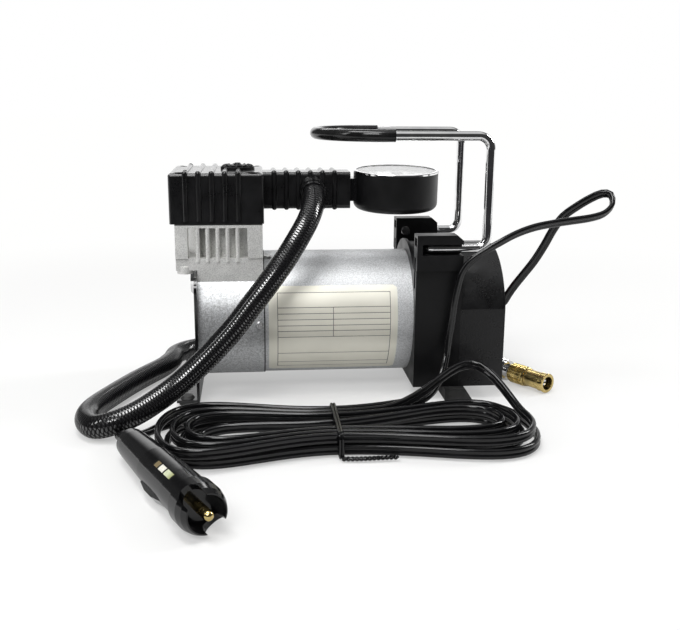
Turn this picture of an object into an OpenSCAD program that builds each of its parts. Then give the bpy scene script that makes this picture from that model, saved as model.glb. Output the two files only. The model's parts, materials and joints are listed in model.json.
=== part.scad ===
// Portable 12 V tire inflator with one cylinder, in millimetres, +Z up.
// The origin is on the floor, under the middle of the machine's length and width.
// X runs along the motor axis, from the pump end (-X) to the switch end (+X).

/* [Motor] */
// Height of the motor axis above the floor
axis_h = 43.7; // [43:0.1:50]
// Outer diameter of the steel motor can
can_d = 70; // [64:0.5:70]
// Wall of the motor can
can_wall = 1.5; // [1:0.1:2.5]
// Length of can that shows between the drum and the rear housing
can_bare_len = 82.2; // [72:0.2:110]
// Length of can that sits inside the rear housing
can_grip = 17; // [12:0.5:20]
// Diameter of the motor shaft
shaft_d = 8; // [6:0.5:9]
// Length of the armature's iron core
core_len = 42; // [30:1:46]
// Radial gap between the armature and the magnets
air_gap = 0.8; // [0.6:0.1:1.5]
// Thickness of the field magnets
magnet_t = 6; // [4:0.5:8]
// Number of armature slots
slot_count = 9; // [7:2:11]

/* [Pump] */
// Outer diameter of the painted drum that holds the crank
drum_d = 71; // [70:0.5:74]
// Length of the drum
drum_len = 35.5; // [34:0.5:42]
// Diameter of the crank chamber
chamber_d = 51; // [48:0.5:52]
// Thickness of the bulkhead between crank chamber and motor
bulkhead_t = 9; // [8:0.5:10]
// Length of the cylinder block along the motor axis
block_len = 46.8; // [46:0.2:48]
// Width of the cylinder block across the motor axis
block_w = 56; // [52:0.5:58]
// Height of the cylinder block's deck above the motor axis
deck_h = 52.3; // [50:0.1:56]
// Height of the cooling fins below the deck
fin_h = 16.5; // [12:0.5:17]
// Thickness of one cooling fin
fin_t = 2.3; // [1.5:0.1:3]
// Cylinder bore
bore_d = 24; // [20:0.5:25]
// Piston stroke
stroke = 13; // [10:0.5:14]
// Wall of the cylinder sleeve
sleeve_wall = 1.5; // [1:0.1:2]
// Thickness of the sheet-metal front plate and its foot
plate_t = 1.5; // [1:0.1:2]
// Width of the front plate
plate_w = 79; // [76:0.5:82]

/* [Head] */
// Height of the finned black head
head_h = 26.9; // [25:0.1:32]
// Width of the head across the motor axis
head_w = 55.6; // [54:0.2:58]
// How far the head reaches beyond the block at the pump end
head_over = 2.7; // [0.4:0.1:3.5]
// How far the head reaches beyond the block at the arm's end
head_lip = 0.9; // [0.4:0.1:1.5]
// Radius of the half-round ribs
rib_r = 1.5; // [1:0.1:1.8]
// Length of the air arm from the head to the gauge
arm_len = 48.3; // [46:0.5:56]
// Width of the air arm
arm_w = 20.2; // [18:0.2:22]
// Height of the air arm
arm_h = 20.2; // [18:0.2:21]

/* [Gauge] */
// Outer diameter of the gauge case
gauge_d = 48; // [40:0.2:52]
// Depth of the gauge case
gauge_h = 21.8; // [18:0.2:24]
// Tilt of the gauge face towards the user, degrees
gauge_tilt = 3; // [0:1:8]
// Length of the square neck between arm and gauge
neck_len = 3; // [2:0.5:6]

/* [Rear housing] */
// Width of the rear housing's flat cheeks
housing_w = 77.6; // [76:0.2:82]
// Length of the rear housing along the motor axis
housing_len = 25.4; // [25:0.2:32]
// Length of the end cover behind the housing
cover_len = 25.4; // [22:0.2:34]
// Wall of the plastic end cover
cover_wall = 2.5; // [2:0.1:3]
// Depth of the pocket in the end cover that holds the switch
switch_in = 4; // [3.8:0.1:6]
// Height of the housing's underside above the floor
housing_gap = 7.6; // [6:0.1:8]
// Thickness of each handle clamp ear
ear_t = 9.8; // [9:0.2:12]
// Top of the handle clamp ears above the motor axis
ear_h = 49.2; // [46:0.2:52]

/* [Handle] */
// Diameter of the handle wire
wire_d = 5; // [4:0.1:5.4]
// Height of the handle's bars above the floor
handle_h = 145; // [138:0.5:160]
// Centre distance between the two bars
handle_w = 70.5; // [68:0.1:72]
// Length of the handle's bars from the legs to the end of the bow
handle_reach = 90.6; // [80:0.2:110]
// Length of the straight part of the grip sleeve
grip_straight = 4; // [2:0.5:20]
// Wall of the vinyl grip sleeve
grip_wall = 0.7; // [0.5:0.1:1.2]

/* [Hose and cord] */
// Outer diameter of the braided hose
hose_d = 12; // [10:0.5:12]
// Width of the flat twin power cord
cord_w = 5.4; // [4:0.1:5.4]
// Thickness of the flat twin power cord
cord_t = 2.8; // [2:0.1:2.8]
// Diameter of the brass chuck barrel
chuck_d = 10.8; // [10:0.2:11.6]
// Diameter of the valve thread in the chuck
valve_d = 7.8; // [7.6:0.1:8]
// Length of the chuck barrel
chuck_len = 27; // [22:0.5:30]
// Diameter of the lighter plug's nose
nose_d = 20.8; // [20.4:0.1:21]
// Length of the lighter plug's body
plug_len = 66; // [60:0.5:72]

/* [Hidden] */

$fn = 48;
// Overlap that joins the solids of one piece
weld = 0.02;
// Running clearance on the radius, and clearance round a fixed fit
run_gap = 0.05;
fit_gap = 0.1;

// Places along the motor axis, counted from the seam between drum and can
block_left = -block_len;
head_left = block_left - head_over;
head_right = head_lip;
arm_right = head_right + arm_len;
housing_left = can_bare_len;
housing_right = housing_left + housing_len;
machine_right = housing_right + cover_len;
can_len = can_bare_len + can_grip;
// X of the seam in the part's frame, so that the machine is centred on the origin
seam_x = -(head_left + machine_right) / 2;

// Pump heights
drum_r = drum_d / 2;
deck_z = axis_h + deck_h;
fin_z = deck_z - fin_h;
valve_plate_t = 1.5;
gasket_t = 0.6;
head_z = deck_z + valve_plate_t + gasket_t;
head_top = head_z + head_h;
arm_z = head_top - 0.9 - arm_h;
arm_mid_z = arm_z + arm_h / 2;
// Underside of the block where it overhangs the front plate
ledge_z = axis_h + 27.3;
plate_x = -drum_len - plate_t;
block_mid = -block_len / 2;
sleeve_d = bore_d + 2 * sleeve_wall;
// The cylinder stands as far forward as the drum's rim allows
drum_rim = 1.1;
cyl_x = -(drum_len - drum_rim - sleeve_d / 2);
throw = stroke / 2;
deck_gap = 0.6;
piston_t = 6;
pin_d = 6;
// Centre of the crank pin at the bottom of its travel, where the part rests
pin_z = axis_h - throw;
piston_top = deck_z - deck_gap - stroke;

/* Small helpers */
module at_seam() translate([seam_x, 0, 0]) children();
module on_axis() at_seam() translate([0, 0, axis_h]) children();
// A round bar along X between two places, about the local axis
module x_bar(d, x0, x1) translate([x0, 0, 0]) rotate([0, 90, 0]) cylinder(d = d, h = x1 - x0);
module y_bar(d, y0, y1) translate([0, y0, 0]) rotate([-90, 0, 0]) cylinder(d = d, h = y1 - y0);
module mirror_y() { children(); mirror([0, 1, 0]) children(); }
// A rectangle with round corners, centred
module round_rect(size, r) {
  square([size.x - 2 * r, size.y], center = true);
  square([size.x, size.y - 2 * r], center = true);
  for (sx = [-1, 1], sy = [-1, 1]) translate([sx * (size.x / 2 - r), sy * (size.y / 2 - r)]) circle(r);
}
// A block between two corners with its four edges along Z and its upper edges rounded
module round_block(low, high, r) {
  size = high - low;
  mid = (high + low) / 2;
  intersection() {
    translate([mid.x, mid.y, low.z]) linear_extrude(size.z) round_rect([size.x, size.y], r);
    translate([mid.x, mid.y, mid.z - r]) rotate([90, 0, 0])
      linear_extrude(size.y + 2, center = true) round_rect([size.x, size.z + 2 * r], r);
    translate([mid.x, mid.y, mid.z - r]) rotate([90, 0, 90])
      linear_extrude(size.x + 2, center = true) round_rect([size.y, size.z + 2 * r], r);
  }
}
// Extrudes a profile drawn in Y and Z along X
module along_x(x0, x1) translate([x0, 0, 0]) rotate([90, 0, 90]) linear_extrude(x1 - x0) children();

/* Motor */
can_bore = can_d - 2 * can_wall;
spigot_len = 5;
core_d = can_bore - 2 * (magnet_t + air_gap + fit_gap);
core_x0 = 16;
core_x1 = core_x0 + core_len;
bell_t = 3;
bell_x = can_len - bell_t;
bearing_d = 22;
bearing_t = 7;
brush_w = 6;
comm_d = 20;
comm_len = 14;
comm_x = core_x1 + 9;
motor_end_x = bell_x + 1;

module motor_can() color("lightsteelblue") difference() {
  on_axis() x_bar(can_d, 0, can_len);
  on_axis() x_bar(can_bore, -1, can_len + 1);
  seam_screw_holes();
}

module magnets() color("dimgray") on_axis() for (side = [0, 180]) rotate([side, 0, 0])
  translate([core_x0 - 2, 0, 0]) rotate([0, 90, 0]) rotate([0, 0, -62])
    rotate_extrude(angle = 124) translate([core_d / 2 + air_gap, 0]) square([magnet_t, core_len + 4]);

// The bell's hub holds the bearing and reaches this far into the motor
bell_hub = 5;
hub_wall = 3;
module end_bell() color("silver") on_axis() difference() {
  union() {
    x_bar(can_bore - 2 * fit_gap, bell_x, can_len);
    x_bar(bearing_d + 2 * hub_wall, bell_x - bell_hub, bell_x + weld);
  }
  x_bar(bearing_d, bell_x - bell_hub - 1, bell_x - bell_hub + bearing_t);
  x_bar(shaft_d + 4, bell_x, can_len + 1);
}

// A ball bearing as its two rings and the shield between them, with a running bore
module bearing(x0) on_axis() difference() {
  x_bar(bearing_d - 2 * run_gap, x0, x0 + bearing_t);
  x_bar(shaft_d + 2 * run_gap, x0 - 1, x0 + bearing_t + 1);
  for (x = [x0 - 1, x0 + bearing_t - 0.4]) translate([x, 0, 0]) rotate([0, 90, 0]) difference() {
    cylinder(d = bearing_d - 4, h = 1.4);
    translate([0, 0, -1]) cylinder(d = shaft_d + 4, h = 4);
  }
}
module rear_bearing() color("gainsboro") bearing(bell_x - bell_hub);
module front_bearing() color("gainsboro") bearing(-bearing_t - 1);

brush_len = 14;
// Gap between each brush and the commutator
brush_gap = 0.15;
holder_t = 3;
holder_x = comm_x + comm_len / 2;
module brush_holder() color("peru") on_axis() difference() {
  union() {
    x_bar(can_bore - 2 * fit_gap, holder_x - holder_t / 2, holder_x + holder_t / 2);
    for (s = [-1, 1]) translate([holder_x, s * (comm_d / 2 + brush_len / 2 + 2), 0])
      cube([brush_w + 4, brush_len, brush_w + 4], center = true);
  }
  x_bar(comm_d + 3, comm_x, comm_x + comm_len);
  for (s = [-1, 1]) translate([holder_x, s * (comm_d / 2 + brush_len), 0])
    cube([brush_w + 2 * fit_gap, 2 * brush_len, brush_w + 2 * fit_gap], center = true);
}
module brushes() color("darkslategray") on_axis() for (s = [-1, 1]) difference() {
  translate([holder_x, s * (comm_d + brush_len) / 2, 0]) cube([brush_w, brush_len, brush_w], center = true);
  x_bar(comm_d + 2 * brush_gap, comm_x, comm_x + comm_len);
}

disc_x1 = -bulkhead_t - 1;
disc_t = 6;
disc_x0 = disc_x1 - disc_t;
module motor_shaft() color("silver") on_axis() x_bar(shaft_d, disc_x0, motor_end_x);
module armature_core() color("slategray") on_axis() difference() {
  x_bar(core_d, core_x0, core_x1);
  x_bar(shaft_d, core_x0 - 1, core_x1 + 1);
  for (i = [0:slot_count - 1]) rotate([i * 360 / slot_count, 0, 0]) {
    translate([(core_x0 + core_x1) / 2, 0, core_d / 2]) cube([core_len + 2, 2.4, 5], center = true);
    translate([0, 0, core_d / 2 - 8]) x_bar(9, core_x0 - 1, core_x1 + 1);
  }
}
module windings() color("peru") on_axis() difference() {
  for (x = [core_x0 - 6, core_x1]) x_bar(core_d - 8, x, x + 6);
  x_bar(shaft_d + 8, core_x0 - 7, core_x1 + 7);
}
module commutator() color("chocolate") on_axis() difference() {
  x_bar(comm_d, comm_x, comm_x + comm_len);
  x_bar(shaft_d, comm_x - 1, comm_x + comm_len + 1);
  for (i = [0:slot_count - 1]) rotate([i * 360 / slot_count, 0, 0])
    translate([comm_x + comm_len / 2, 0, comm_d / 2]) cube([comm_len + 2, 0.6, 2], center = true);
}

/* Pump */
disc_r = 17;
rod_t = 8;
rod_eye_r = 7.5;
// The rod's pin ends this far from the disc that drives it
pin_gap = 0.3;
// A crank disc whose heavy side is opposite the pin
module crank_disc() color("gray") on_axis() difference() {
  union() {
    x_bar(2 * (throw + pin_d), disc_x0, disc_x1);
    intersection() {
      x_bar(2 * disc_r, disc_x0, disc_x1);
      translate([disc_x0 - 1, -disc_r, 0]) cube([disc_t + 2, 2 * disc_r, 2 * disc_r]);
    }
  }
  x_bar(shaft_d, disc_x0 - 1, disc_x1 + 1);
}
module crank_pin() color("silver") at_seam() translate([0, 0, pin_z])
  x_bar(pin_d, cyl_x - rod_t / 2 - 1, disc_x0 - pin_gap);
module connecting_rod() color("silver") at_seam() difference() {
  union() {
    translate([0, 0, pin_z]) x_bar(2 * rod_eye_r, cyl_x - rod_t / 2, cyl_x + rod_t / 2);
    translate([cyl_x - rod_t / 2, -3.5, pin_z]) cube([rod_t, 7, piston_top - piston_t - pin_z]);
  }
  translate([0, 0, pin_z]) x_bar(pin_d + 2 * run_gap, cyl_x - rod_t, cyl_x + rod_t);
  for (s = [-1, 1]) translate([cyl_x + s * rod_t / 2, 0, (pin_z + rod_eye_r + piston_top - piston_t) / 2])
    cube([4, 3, piston_top - piston_t - pin_z - rod_eye_r - 8], center = true);
}
cup_t = 1.2;
module piston() color("gainsboro") at_seam() translate([cyl_x, 0, piston_top - piston_t]) {
  cylinder(d = bore_d - 1.6, h = piston_t - cup_t);
  translate([0, 0, piston_t - cup_t - weld]) cylinder(d = bore_d - 6, h = cup_t + weld);
}
// The leather-like cup that seals the piston
module piston_cup() color("saddlebrown") at_seam() translate([cyl_x, 0, piston_top - cup_t]) difference() {
  cylinder(d = bore_d - 2 * run_gap, h = cup_t);
  translate([0, 0, -1]) cylinder(d = bore_d - 6 + 2 * run_gap, h = 4);
}

// The sleeve reaches this far into the crank chamber
sleeve_reach = 4.5;
sleeve_z0 = axis_h + chamber_d / 2 - sleeve_reach;
module cylinder_sleeve() color("gainsboro") at_seam() translate([cyl_x, 0, sleeve_z0]) difference() {
  cylinder(d = sleeve_d, h = deck_z - sleeve_z0);
  translate([0, 0, -1]) cylinder(d = bore_d, h = deck_z);
}

seam_screw_d = 2.6;
seam_screw_len = 5;
seam_head_d = 4.6;
seam_head_h = 1.2;
// Place along the axis and angle round it of each seam screw, 0 degrees facing the user
seam_screw_at = [[2.6, 72], [-2.6, 0], [-2.6, 180], [2.6, 200]];
module at_seam_screws() on_axis() for (s = seam_screw_at) translate([s[0], 0, 0])
  rotate([90 - s[1], 0, 0]) translate([0, 0, s[0] > 0 ? can_d / 2 : drum_r]) children();
module seam_screw_holes() at_seam_screws() translate([0, 0, -seam_screw_len - 1])
  cylinder(d = seam_screw_d + 2 * run_gap, h = 2 * seam_screw_len);

module crankcase() color("lightgray") difference() {
  on_axis() difference() {
    union() {
      x_bar(drum_d, -drum_len, 0);
      x_bar(can_bore - 2 * fit_gap, -weld, spigot_len);
    }
    x_bar(chamber_d, -drum_len - 1, -bulkhead_t);
    x_bar(bearing_d, -bulkhead_t - 1, spigot_len + 1);
  }
  at_seam() translate([cyl_x, 0, axis_h]) cylinder(d = sleeve_d + 2 * run_gap, h = drum_d);
  seam_screw_holes();
  plate_screws_shape(fit_gap);
}

module seam_screws() color("dimgray") at_seam_screws() {
  translate([0, 0, -seam_screw_len]) cylinder(d = seam_screw_d, h = seam_screw_len + seam_head_h / 2);
  translate([0, 0, weld]) cylinder(d1 = seam_head_d, d2 = 0.7 * seam_head_d, h = seam_head_h);
}

column_w = [6.6, 8.2];
column_d = 9.5;
screw_d = 4;
// Centres of the four head screws
screw_xs = [block_left + column_w[0] / 2 + 0.6, -column_w[1] / 2 - 0.4];
screw_y = block_w / 2 - column_d / 2;
module at_head_screws() at_seam() for (x = screw_xs, s = [-1, 1]) translate([x, s * screw_y, 0]) children();

fin_count = 5;
fin_zone = [block_left + column_w[0], -column_w[1]];
fin_pitch = (fin_zone[1] - fin_zone[0]) / (fin_count + 1);
// The foot stands back from the columns and fins, and the barrel is thick under its fins
foot_inset = 0.9;
foot_half = block_w / 2 - foot_inset;
block_low = axis_h + sqrt(drum_r * drum_r - foot_half * foot_half);
barrel_d = sleeve_d + 14;
// The fins' lower ends hang over the foot's face
fin_toe = 2;
module cylinder_block() color("lightgray") difference() {
  at_seam() {
    // Solid foot that saddles the drum
    translate([-drum_len, -foot_half, block_low]) cube([drum_len, 2 * foot_half, fin_z - block_low]);
    // Ledge that overhangs the front plate, with rounded bosses under the columns
    translate([block_left, -foot_half, ledge_z + 2])
      cube([block_len - 1, 2 * foot_half, fin_z - ledge_z - 2]);
    for (s = [-1, 1]) translate([screw_xs[0] + 0.8, s * screw_y, ledge_z])
      cylinder(d = column_d - 0.6, h = 4);
    // Corner columns
    for (s = [-1, 1]) {
      translate([block_left, s * screw_y - column_d / 2, fin_z - weld])
        cube([column_w[0], column_d, fin_h + weld]);
      translate([-column_w[1], s * screw_y - column_d / 2, fin_z - weld])
        cube([column_w[1], column_d, fin_h + weld]);
    }
    // Barrel and its upright fins, round at their outer edges
    translate([cyl_x, 0, fin_z - weld]) cylinder(d = barrel_d, h = fin_h + weld);
    for (i = [1:fin_count]) translate([fin_zone[0] + i * fin_pitch, 0, fin_z - fin_toe]) {
      translate([-fin_t / 2, (fin_t - block_w) / 2, 0]) cube([fin_t, block_w - fin_t, fin_h + fin_toe]);
      for (s = [-1, 1]) translate([0, s * (block_w - fin_t) / 2, 0]) cylinder(d = fin_t, h = fin_h + fin_toe);
    }
  }
  on_axis() x_bar(drum_d, -drum_len - 1, 1);
  at_seam() translate([cyl_x, 0, axis_h]) cylinder(d = sleeve_d + 2 * run_gap, h = deck_h + 1);
  at_head_screws() translate([0, 0, fin_z - 3]) cylinder(d = screw_d + 2 * run_gap, h = fin_h + 4);
}

port_d = 4;
module valve_plate() color("silver") difference() {
  at_seam() translate([block_left, -block_w / 2, deck_z]) cube([block_len, block_w, valve_plate_t]);
  at_seam() for (s = [-1, 1]) translate([cyl_x + s * 6, 0, deck_z - 1]) cylinder(d = port_d, h = 5);
  at_head_screws() translate([0, 0, deck_z - 1]) cylinder(d = screw_d + 4 * fit_gap, h = 5);
}
reed_t = 0.4;
module outlet_reed() color("gainsboro") at_seam()
  translate([cyl_x + 6, 0, deck_z + valve_plate_t]) {
    translate([-3, -3, 0]) cube([6, 12, reed_t]);
    translate([0, 7, 0]) cylinder(d = 3, h = 2);
  }
cavity = [32, 30, 12];
module head_gasket() color("darkslategray") difference() {
  at_seam() translate([block_left, -block_w / 2, deck_z + valve_plate_t]) cube([block_len, block_w, gasket_t]);
  at_seam() translate([cyl_x, 0, deck_z]) cube([cavity.x, cavity.y, 10], center = true);
  at_head_screws() translate([0, 0, deck_z]) cylinder(d = screw_d + 4 * fit_gap, h = 5);
}

// A rib that runs over a box along Y: up the front, over the top and down the back,
// and under it too when closed
module rib_hoop(x, half_w, z0, z1, closed) translate([x, 0, 0]) {
  for (s = [-1, 1]) {
    translate([0, s * half_w, z0]) cylinder(r = rib_r, h = z1 - z0);
    translate([0, s * half_w, z1]) sphere(rib_r);
    if (closed) translate([0, s * half_w, z0]) sphere(rib_r);
  }
  for (z = closed ? [z0, z1] : [z1]) translate([0, 0, z]) y_bar(2 * rib_r, -half_w, half_w);
}
head_rib_count = 5;
head_rib_pitch = 7;
head_rib_x0 = block_mid - head_rib_pitch * (head_rib_count - 1) / 2 - 3.2;
arm_rib_count = 6;
arm_rib_pitch = 6.7;
arm_rib_x0 = head_right + 6;
cap_d = 18.8;
cap_x = block_mid + 10.3;
// The hose leaves the arm this far from the head
hose_port_reach = 27.4;
hose_port_x = head_right + hose_port_reach;
ferrule_d = 14;
// The hose's ferrule leans down from the arm's front face
ferrule_lean = 23;
neck_w = 12.6;
module at_hose_port() at_seam() translate([hose_port_x, -arm_w / 2, arm_mid_z + 0.8])
  rotate([90 + ferrule_lean, 0, 0]) children();
air_bore = 5;

module cylinder_head() color([0.1, 0.1, 0.1]) difference() {
  at_seam() {
    round_block([head_left, -head_w / 2, head_z], [head_right, head_w / 2, head_top], 1.8);
    for (i = [0:head_rib_count - 1])
      rib_hoop(head_rib_x0 + i * head_rib_pitch, head_w / 2 - 0.2, head_z + rib_r, head_top - 0.2, false);
    translate([(head_right + arm_right) / 2 - 1, 0, arm_mid_z]) rotate([90, 0, 90])
      linear_extrude(arm_len + 2, center = true) round_rect([arm_w, arm_h], 2);
    for (i = [0:arm_rib_count - 1])
      rib_hoop(arm_rib_x0 + i * arm_rib_pitch, arm_w / 2 - 0.4, arm_z + 0.9, arm_z + arm_h - 0.4, true);
  }
  // Air chamber and the bore along the arm
  at_seam() translate([cyl_x, 0, head_z - 1]) translate([-cavity.x / 2, -cavity.y / 2, 0])
    cube([cavity.x, cavity.y, cavity.z + 1]);
  at_seam() translate([0, 0, arm_mid_z]) x_bar(air_bore, cyl_x, arm_right + 1);
  at_seam() translate([arm_right - 9, -neck_w / 2 - fit_gap, arm_mid_z - neck_w / 2 - fit_gap])
    cube([10, neck_w + 2 * fit_gap, neck_w + 2 * fit_gap]);
  // Seats of the cap, the ferrule and the screws
  at_seam() translate([cap_x, 0, head_top]) cylinder(d = cap_d + 2 * fit_gap, h = 5);
  at_hose_port() {
    translate([0, 0, -3]) cylinder(d = ferrule_d + 2 * fit_gap, h = 8);
    translate([0, 0, -arm_w / 2]) cylinder(d = air_bore, h = arm_w / 2);
  }
  at_head_screws() {
    translate([0, 0, head_z - 1]) cylinder(d = screw_d + 4 * fit_gap, h = head_h + 5);
    translate([0, 0, head_top - 5]) cylinder(d = 7.6, h = 8);
  }
}

module head_screws() color("silver") at_head_screws() difference() {
  union() {
    translate([0, 0, fin_z - 2]) cylinder(d = screw_d, h = head_top - 5 - fin_z + 2 + weld);
    translate([0, 0, head_top - 5]) cylinder(d = 7, h = 3.8);
  }
  translate([0, 0, head_top - 3.2]) cylinder(d = 3.4, h = 3, $fn = 6);
}

module intake_cap() color([0.08, 0.08, 0.08]) at_seam() translate([cap_x, 0, head_top]) {
  cylinder(d = cap_d, h = 1.3);
  cylinder(d = 11.5, h = 2.5);
  translate([0, 0, 2.5 - weld]) cylinder(d1 = 4.4, d2 = 3, h = 1.2);
}

/* Front plate and feet */
foot_flange = 11;
pad_h = 2;
pad_d = 9;
plate_screw_r = 30;
plate_screw_d = 3;
plate_screw_head = 6;
plate_screw_bite = 5;
// Angle of each plate screw round the motor axis, 0 degrees facing the user
plate_screw_angles = [-35, -145, 12, 168];
module plate_screws_shape(gap) on_axis() for (a = plate_screw_angles) rotate([90 - a, 0, 0])
  translate([plate_x, 0, plate_screw_r]) rotate([0, 90, 0]) {
    translate([0, 0, -gap])
      cylinder(d1 = plate_screw_head + 2 * gap, d2 = plate_screw_d + 2 * gap, h = plate_t + gap);
    cylinder(d = plate_screw_d + 2 * gap, h = plate_t + plate_screw_bite + gap);
  }
module plate_screws() color("silver") plate_screws_shape(0);
pad_y = plate_w / 2 - 5;
flange_z = pad_h;
module front_plate() color("silver") difference() {
  at_seam() {
    translate([plate_x, 0, 0]) rotate([90, 0, 90]) linear_extrude(plate_t) {
      translate([-plate_w / 2, flange_z]) square([plate_w, ledge_z - flange_z - 8.2]);
      translate([-plate_w / 2 + 8, flange_z]) square([plate_w - 16, ledge_z - flange_z - 0.2]);
      for (s = [-1, 1]) translate([s * (plate_w / 2 - 8), ledge_z - 8.2]) circle(8);
    }
    translate([plate_x - foot_flange, -plate_w / 2, flange_z]) cube([foot_flange + weld, plate_w, plate_t]);
  }
  plate_screws_shape(fit_gap);
  at_pads() translate([0, 0, -1]) cylinder(d = 4.2, h = 10);
}
module at_pads() at_seam() for (s = [-1, 1])
  translate([plate_x - foot_flange / 2, s * pad_y, 0]) children();
// Rubber buttons that snap through the flange, with a head above it
module front_feet() color([0.1, 0.1, 0.1]) at_pads() {
  cylinder(d1 = pad_d, d2 = pad_d + 1, h = pad_h);
  cylinder(d = 4, h = pad_h + plate_t + 0.1);
  translate([0, 0, pad_h + plate_t]) cylinder(d1 = 8, d2 = 6, h = 1.4);
}
breather_r = 9;
module breather_cap() color("silver") at_seam() translate([plate_x, 0, ledge_z - breather_r - 0.5])
  rotate([0, -90, 0]) {
    cylinder(r = breather_r, h = 1.4);
    translate([0, 0, 1.4 - weld]) cylinder(r1 = breather_r - 0.5, r2 = breather_r - 3, h = 2.4);
  }

/* Gauge */
gauge_r = gauge_d / 2;
gauge_x = arm_right + neck_len + gauge_r;
face_z = head_top - 0.6;
bezel_t = 0.8;
bezel_w = 1.6;
case_corner = 4;
lens_t = 1.2;
dial_depth = 4.5;
case_wall = 1.2;
// The gauge's own frame: +Z out of its face, the face's centre at z = 0
module at_gauge() at_seam() translate([gauge_x, 0, face_z]) rotate([gauge_tilt, 0, 0]) children();
module gauge_case() color([0.06, 0.06, 0.06]) at_gauge() difference() {
  rotate_extrude() difference() {
    union() {
      translate([0, case_corner - gauge_h]) square([gauge_r, gauge_h - case_corner - bezel_t]);
      translate([0, -gauge_h]) square([gauge_r - case_corner, gauge_h - bezel_t]);
      translate([gauge_r - case_corner, case_corner - gauge_h]) circle(case_corner);
    }
    translate([-gauge_r, -gauge_h]) square([gauge_r, gauge_h]);
    translate([0, -dial_depth - 1]) square([gauge_r - case_wall, 10]);
  }
}
module gauge_bezel() color("silver") at_gauge() rotate_extrude() difference() {
  translate([gauge_r + 0.2 - bezel_w, -bezel_t]) square([bezel_w, bezel_t + 0.3]);
  translate([gauge_r + 0.5, 0.6]) rotate(45) square(1.2, center = true);
}
module gauge_lens() color([0.9, 0.95, 1, 0.4]) at_gauge() translate([0, 0, -lens_t - 0.1])
  cylinder(r = gauge_r + 0.1 - bezel_w, h = lens_t);
module gauge_dial() color("white") at_gauge() translate([0, 0, -dial_depth - 1]) {
  cylinder(r = gauge_r - case_wall - 0.1, h = 0.8);
  translate([0, 0, 0.8 - weld]) cylinder(d = 2, h = 2.2);
}
needle_len = 17;
needle_z = -dial_depth + 1;
// Zero lies to the lower left of the dial
needle_zero = 225;
module gauge_needle() color("black") at_gauge() translate([0, 0, needle_z]) rotate([0, 0, needle_zero])
  difference() {
    union() {
      cylinder(d = 5, h = 1.6);
      linear_extrude(0.6) polygon([[-6, -1.1], [needle_len, -0.25], [needle_len, 0.25], [-6, 1.1]]);
    }
    translate([0, 0, -1]) cylinder(d = 2 + 2 * run_gap, h = 2.3);
  }
module gauge_neck() color("gray") at_seam() difference() {
  translate([arm_right - 8.9, -neck_w / 2, arm_mid_z - neck_w / 2])
    cube([8.9 + neck_len + 1.5, neck_w, neck_w]);
  translate([0, 0, arm_mid_z]) x_bar(air_bore, arm_right - 12, arm_right + neck_len + 3);
  translate([gauge_x, 0, face_z]) rotate([gauge_tilt, 0, 0])
    translate([0, 0, -gauge_h]) cylinder(r = gauge_r, h = gauge_h);
}

/* Rear housing and end cover */
arch_r = housing_w / 2 + 0.8;
rim_r = arch_r + 1.7;
rim_len = 1.5;
// Height of the step where the cheek ends and the clamp ear stands on it
step_h = 30;
ear_y = housing_w / 2 + 2;
ear_in = ear_y - ear_t;
bar_y = handle_w / 2;
// The handle's lower run lies in a slot in each ear
run_z = axis_h + ear_h - 7.8;
slot_z0 = run_z - wire_d / 2 - 0.6;
slot_z1 = run_z + wire_d / 2 + 0.3;
hole_x = housing_left + 5.8;
slot_x = hole_x - wire_d / 2 - 0.3;
// Shallow pockets in each ear's front end, as heights above the motor axis
ear_wall = 1.8;
pocket_depth = 1.6;
pocket_zones = [[step_h - 11, step_h + 6.5], [ear_h - 6.4, ear_h - ear_wall]];
// The arch seen along X: a circle cut flat at the sides, down to the underside, drawn in by a wall
module arch(wall, r = arch_r) {
  half = housing_w / 2 - wall;
  low = housing_gap + wall - axis_h;
  intersection() {
    union() {
      circle(r - wall);
      translate([-half, low]) square([2 * half, -low]);
    }
    translate([-half, low]) square([2 * half, r - low]);
  }
}
module rear_housing() color([0.09, 0.09, 0.09]) difference() {
  on_axis() {
    along_x(housing_left, housing_right) arch(0);
    along_x(housing_left, housing_left + rim_len) arch(0, rim_r);
    // Flat cheeks, the clamp ears that stand on them and the ears' outer corner
    mirror_y() {
      along_x(housing_left, housing_right) polygon([[housing_w / 2, housing_gap - axis_h],
        [housing_w / 2, step_h], [ear_in, step_h], [ear_in - 4, step_h - 6],
        [ear_in - 4, housing_gap - axis_h]]);
      translate([0, ear_y, 0]) rotate([90, 0, 0]) linear_extrude(ear_t) polygon([
        [housing_left, step_h - weld], [housing_right, step_h - weld],
        [housing_right, ear_h - 3], [housing_right - 3.5, ear_h], [housing_left, ear_h]]);
    }
  }
  // Seat of the can, its stop, and the space for the wires behind it
  on_axis() x_bar(can_d + 2 * fit_gap, housing_left - 5, can_len);
  on_axis() x_bar(can_d - 8, can_len - 1, housing_right + 1);
  // Slots and holes that hold the handle wire
  at_seam() mirror_y() {
    translate([slot_x, bar_y - wire_d / 2 - hook_gap, slot_z0])
      cube([housing_len, ear_t, slot_z1 - slot_z0]);
    translate([hole_x, 0, run_z]) y_bar(wire_d + 2 * fit_gap, ear_in - 8, ear_y);
  }
  on_axis() mirror_y() for (z = pocket_zones) translate([housing_left - 1, ear_in + ear_wall, z[0]])
    cube([pocket_depth + 1, (z[0] < step_h ? housing_w / 2 : ear_y) - ear_in - 2 * ear_wall, z[1] - z[0]]);
  at_cover_screws() translate([0, 0, -cover_screw_bite - 0.6])
    cylinder(d = cover_screw_d + 2 * fit_gap, h = cover_screw_bite + 2);
  at_rear_feet() translate([0, 0, housing_gap]) cylinder(d = 4.2, h = 3);
}

cover_screw_d = 3;
cover_screw_head = 5.8;
cover_screw_bite = 7;
cover_screw_seat = cover_len - 2.2;
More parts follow.
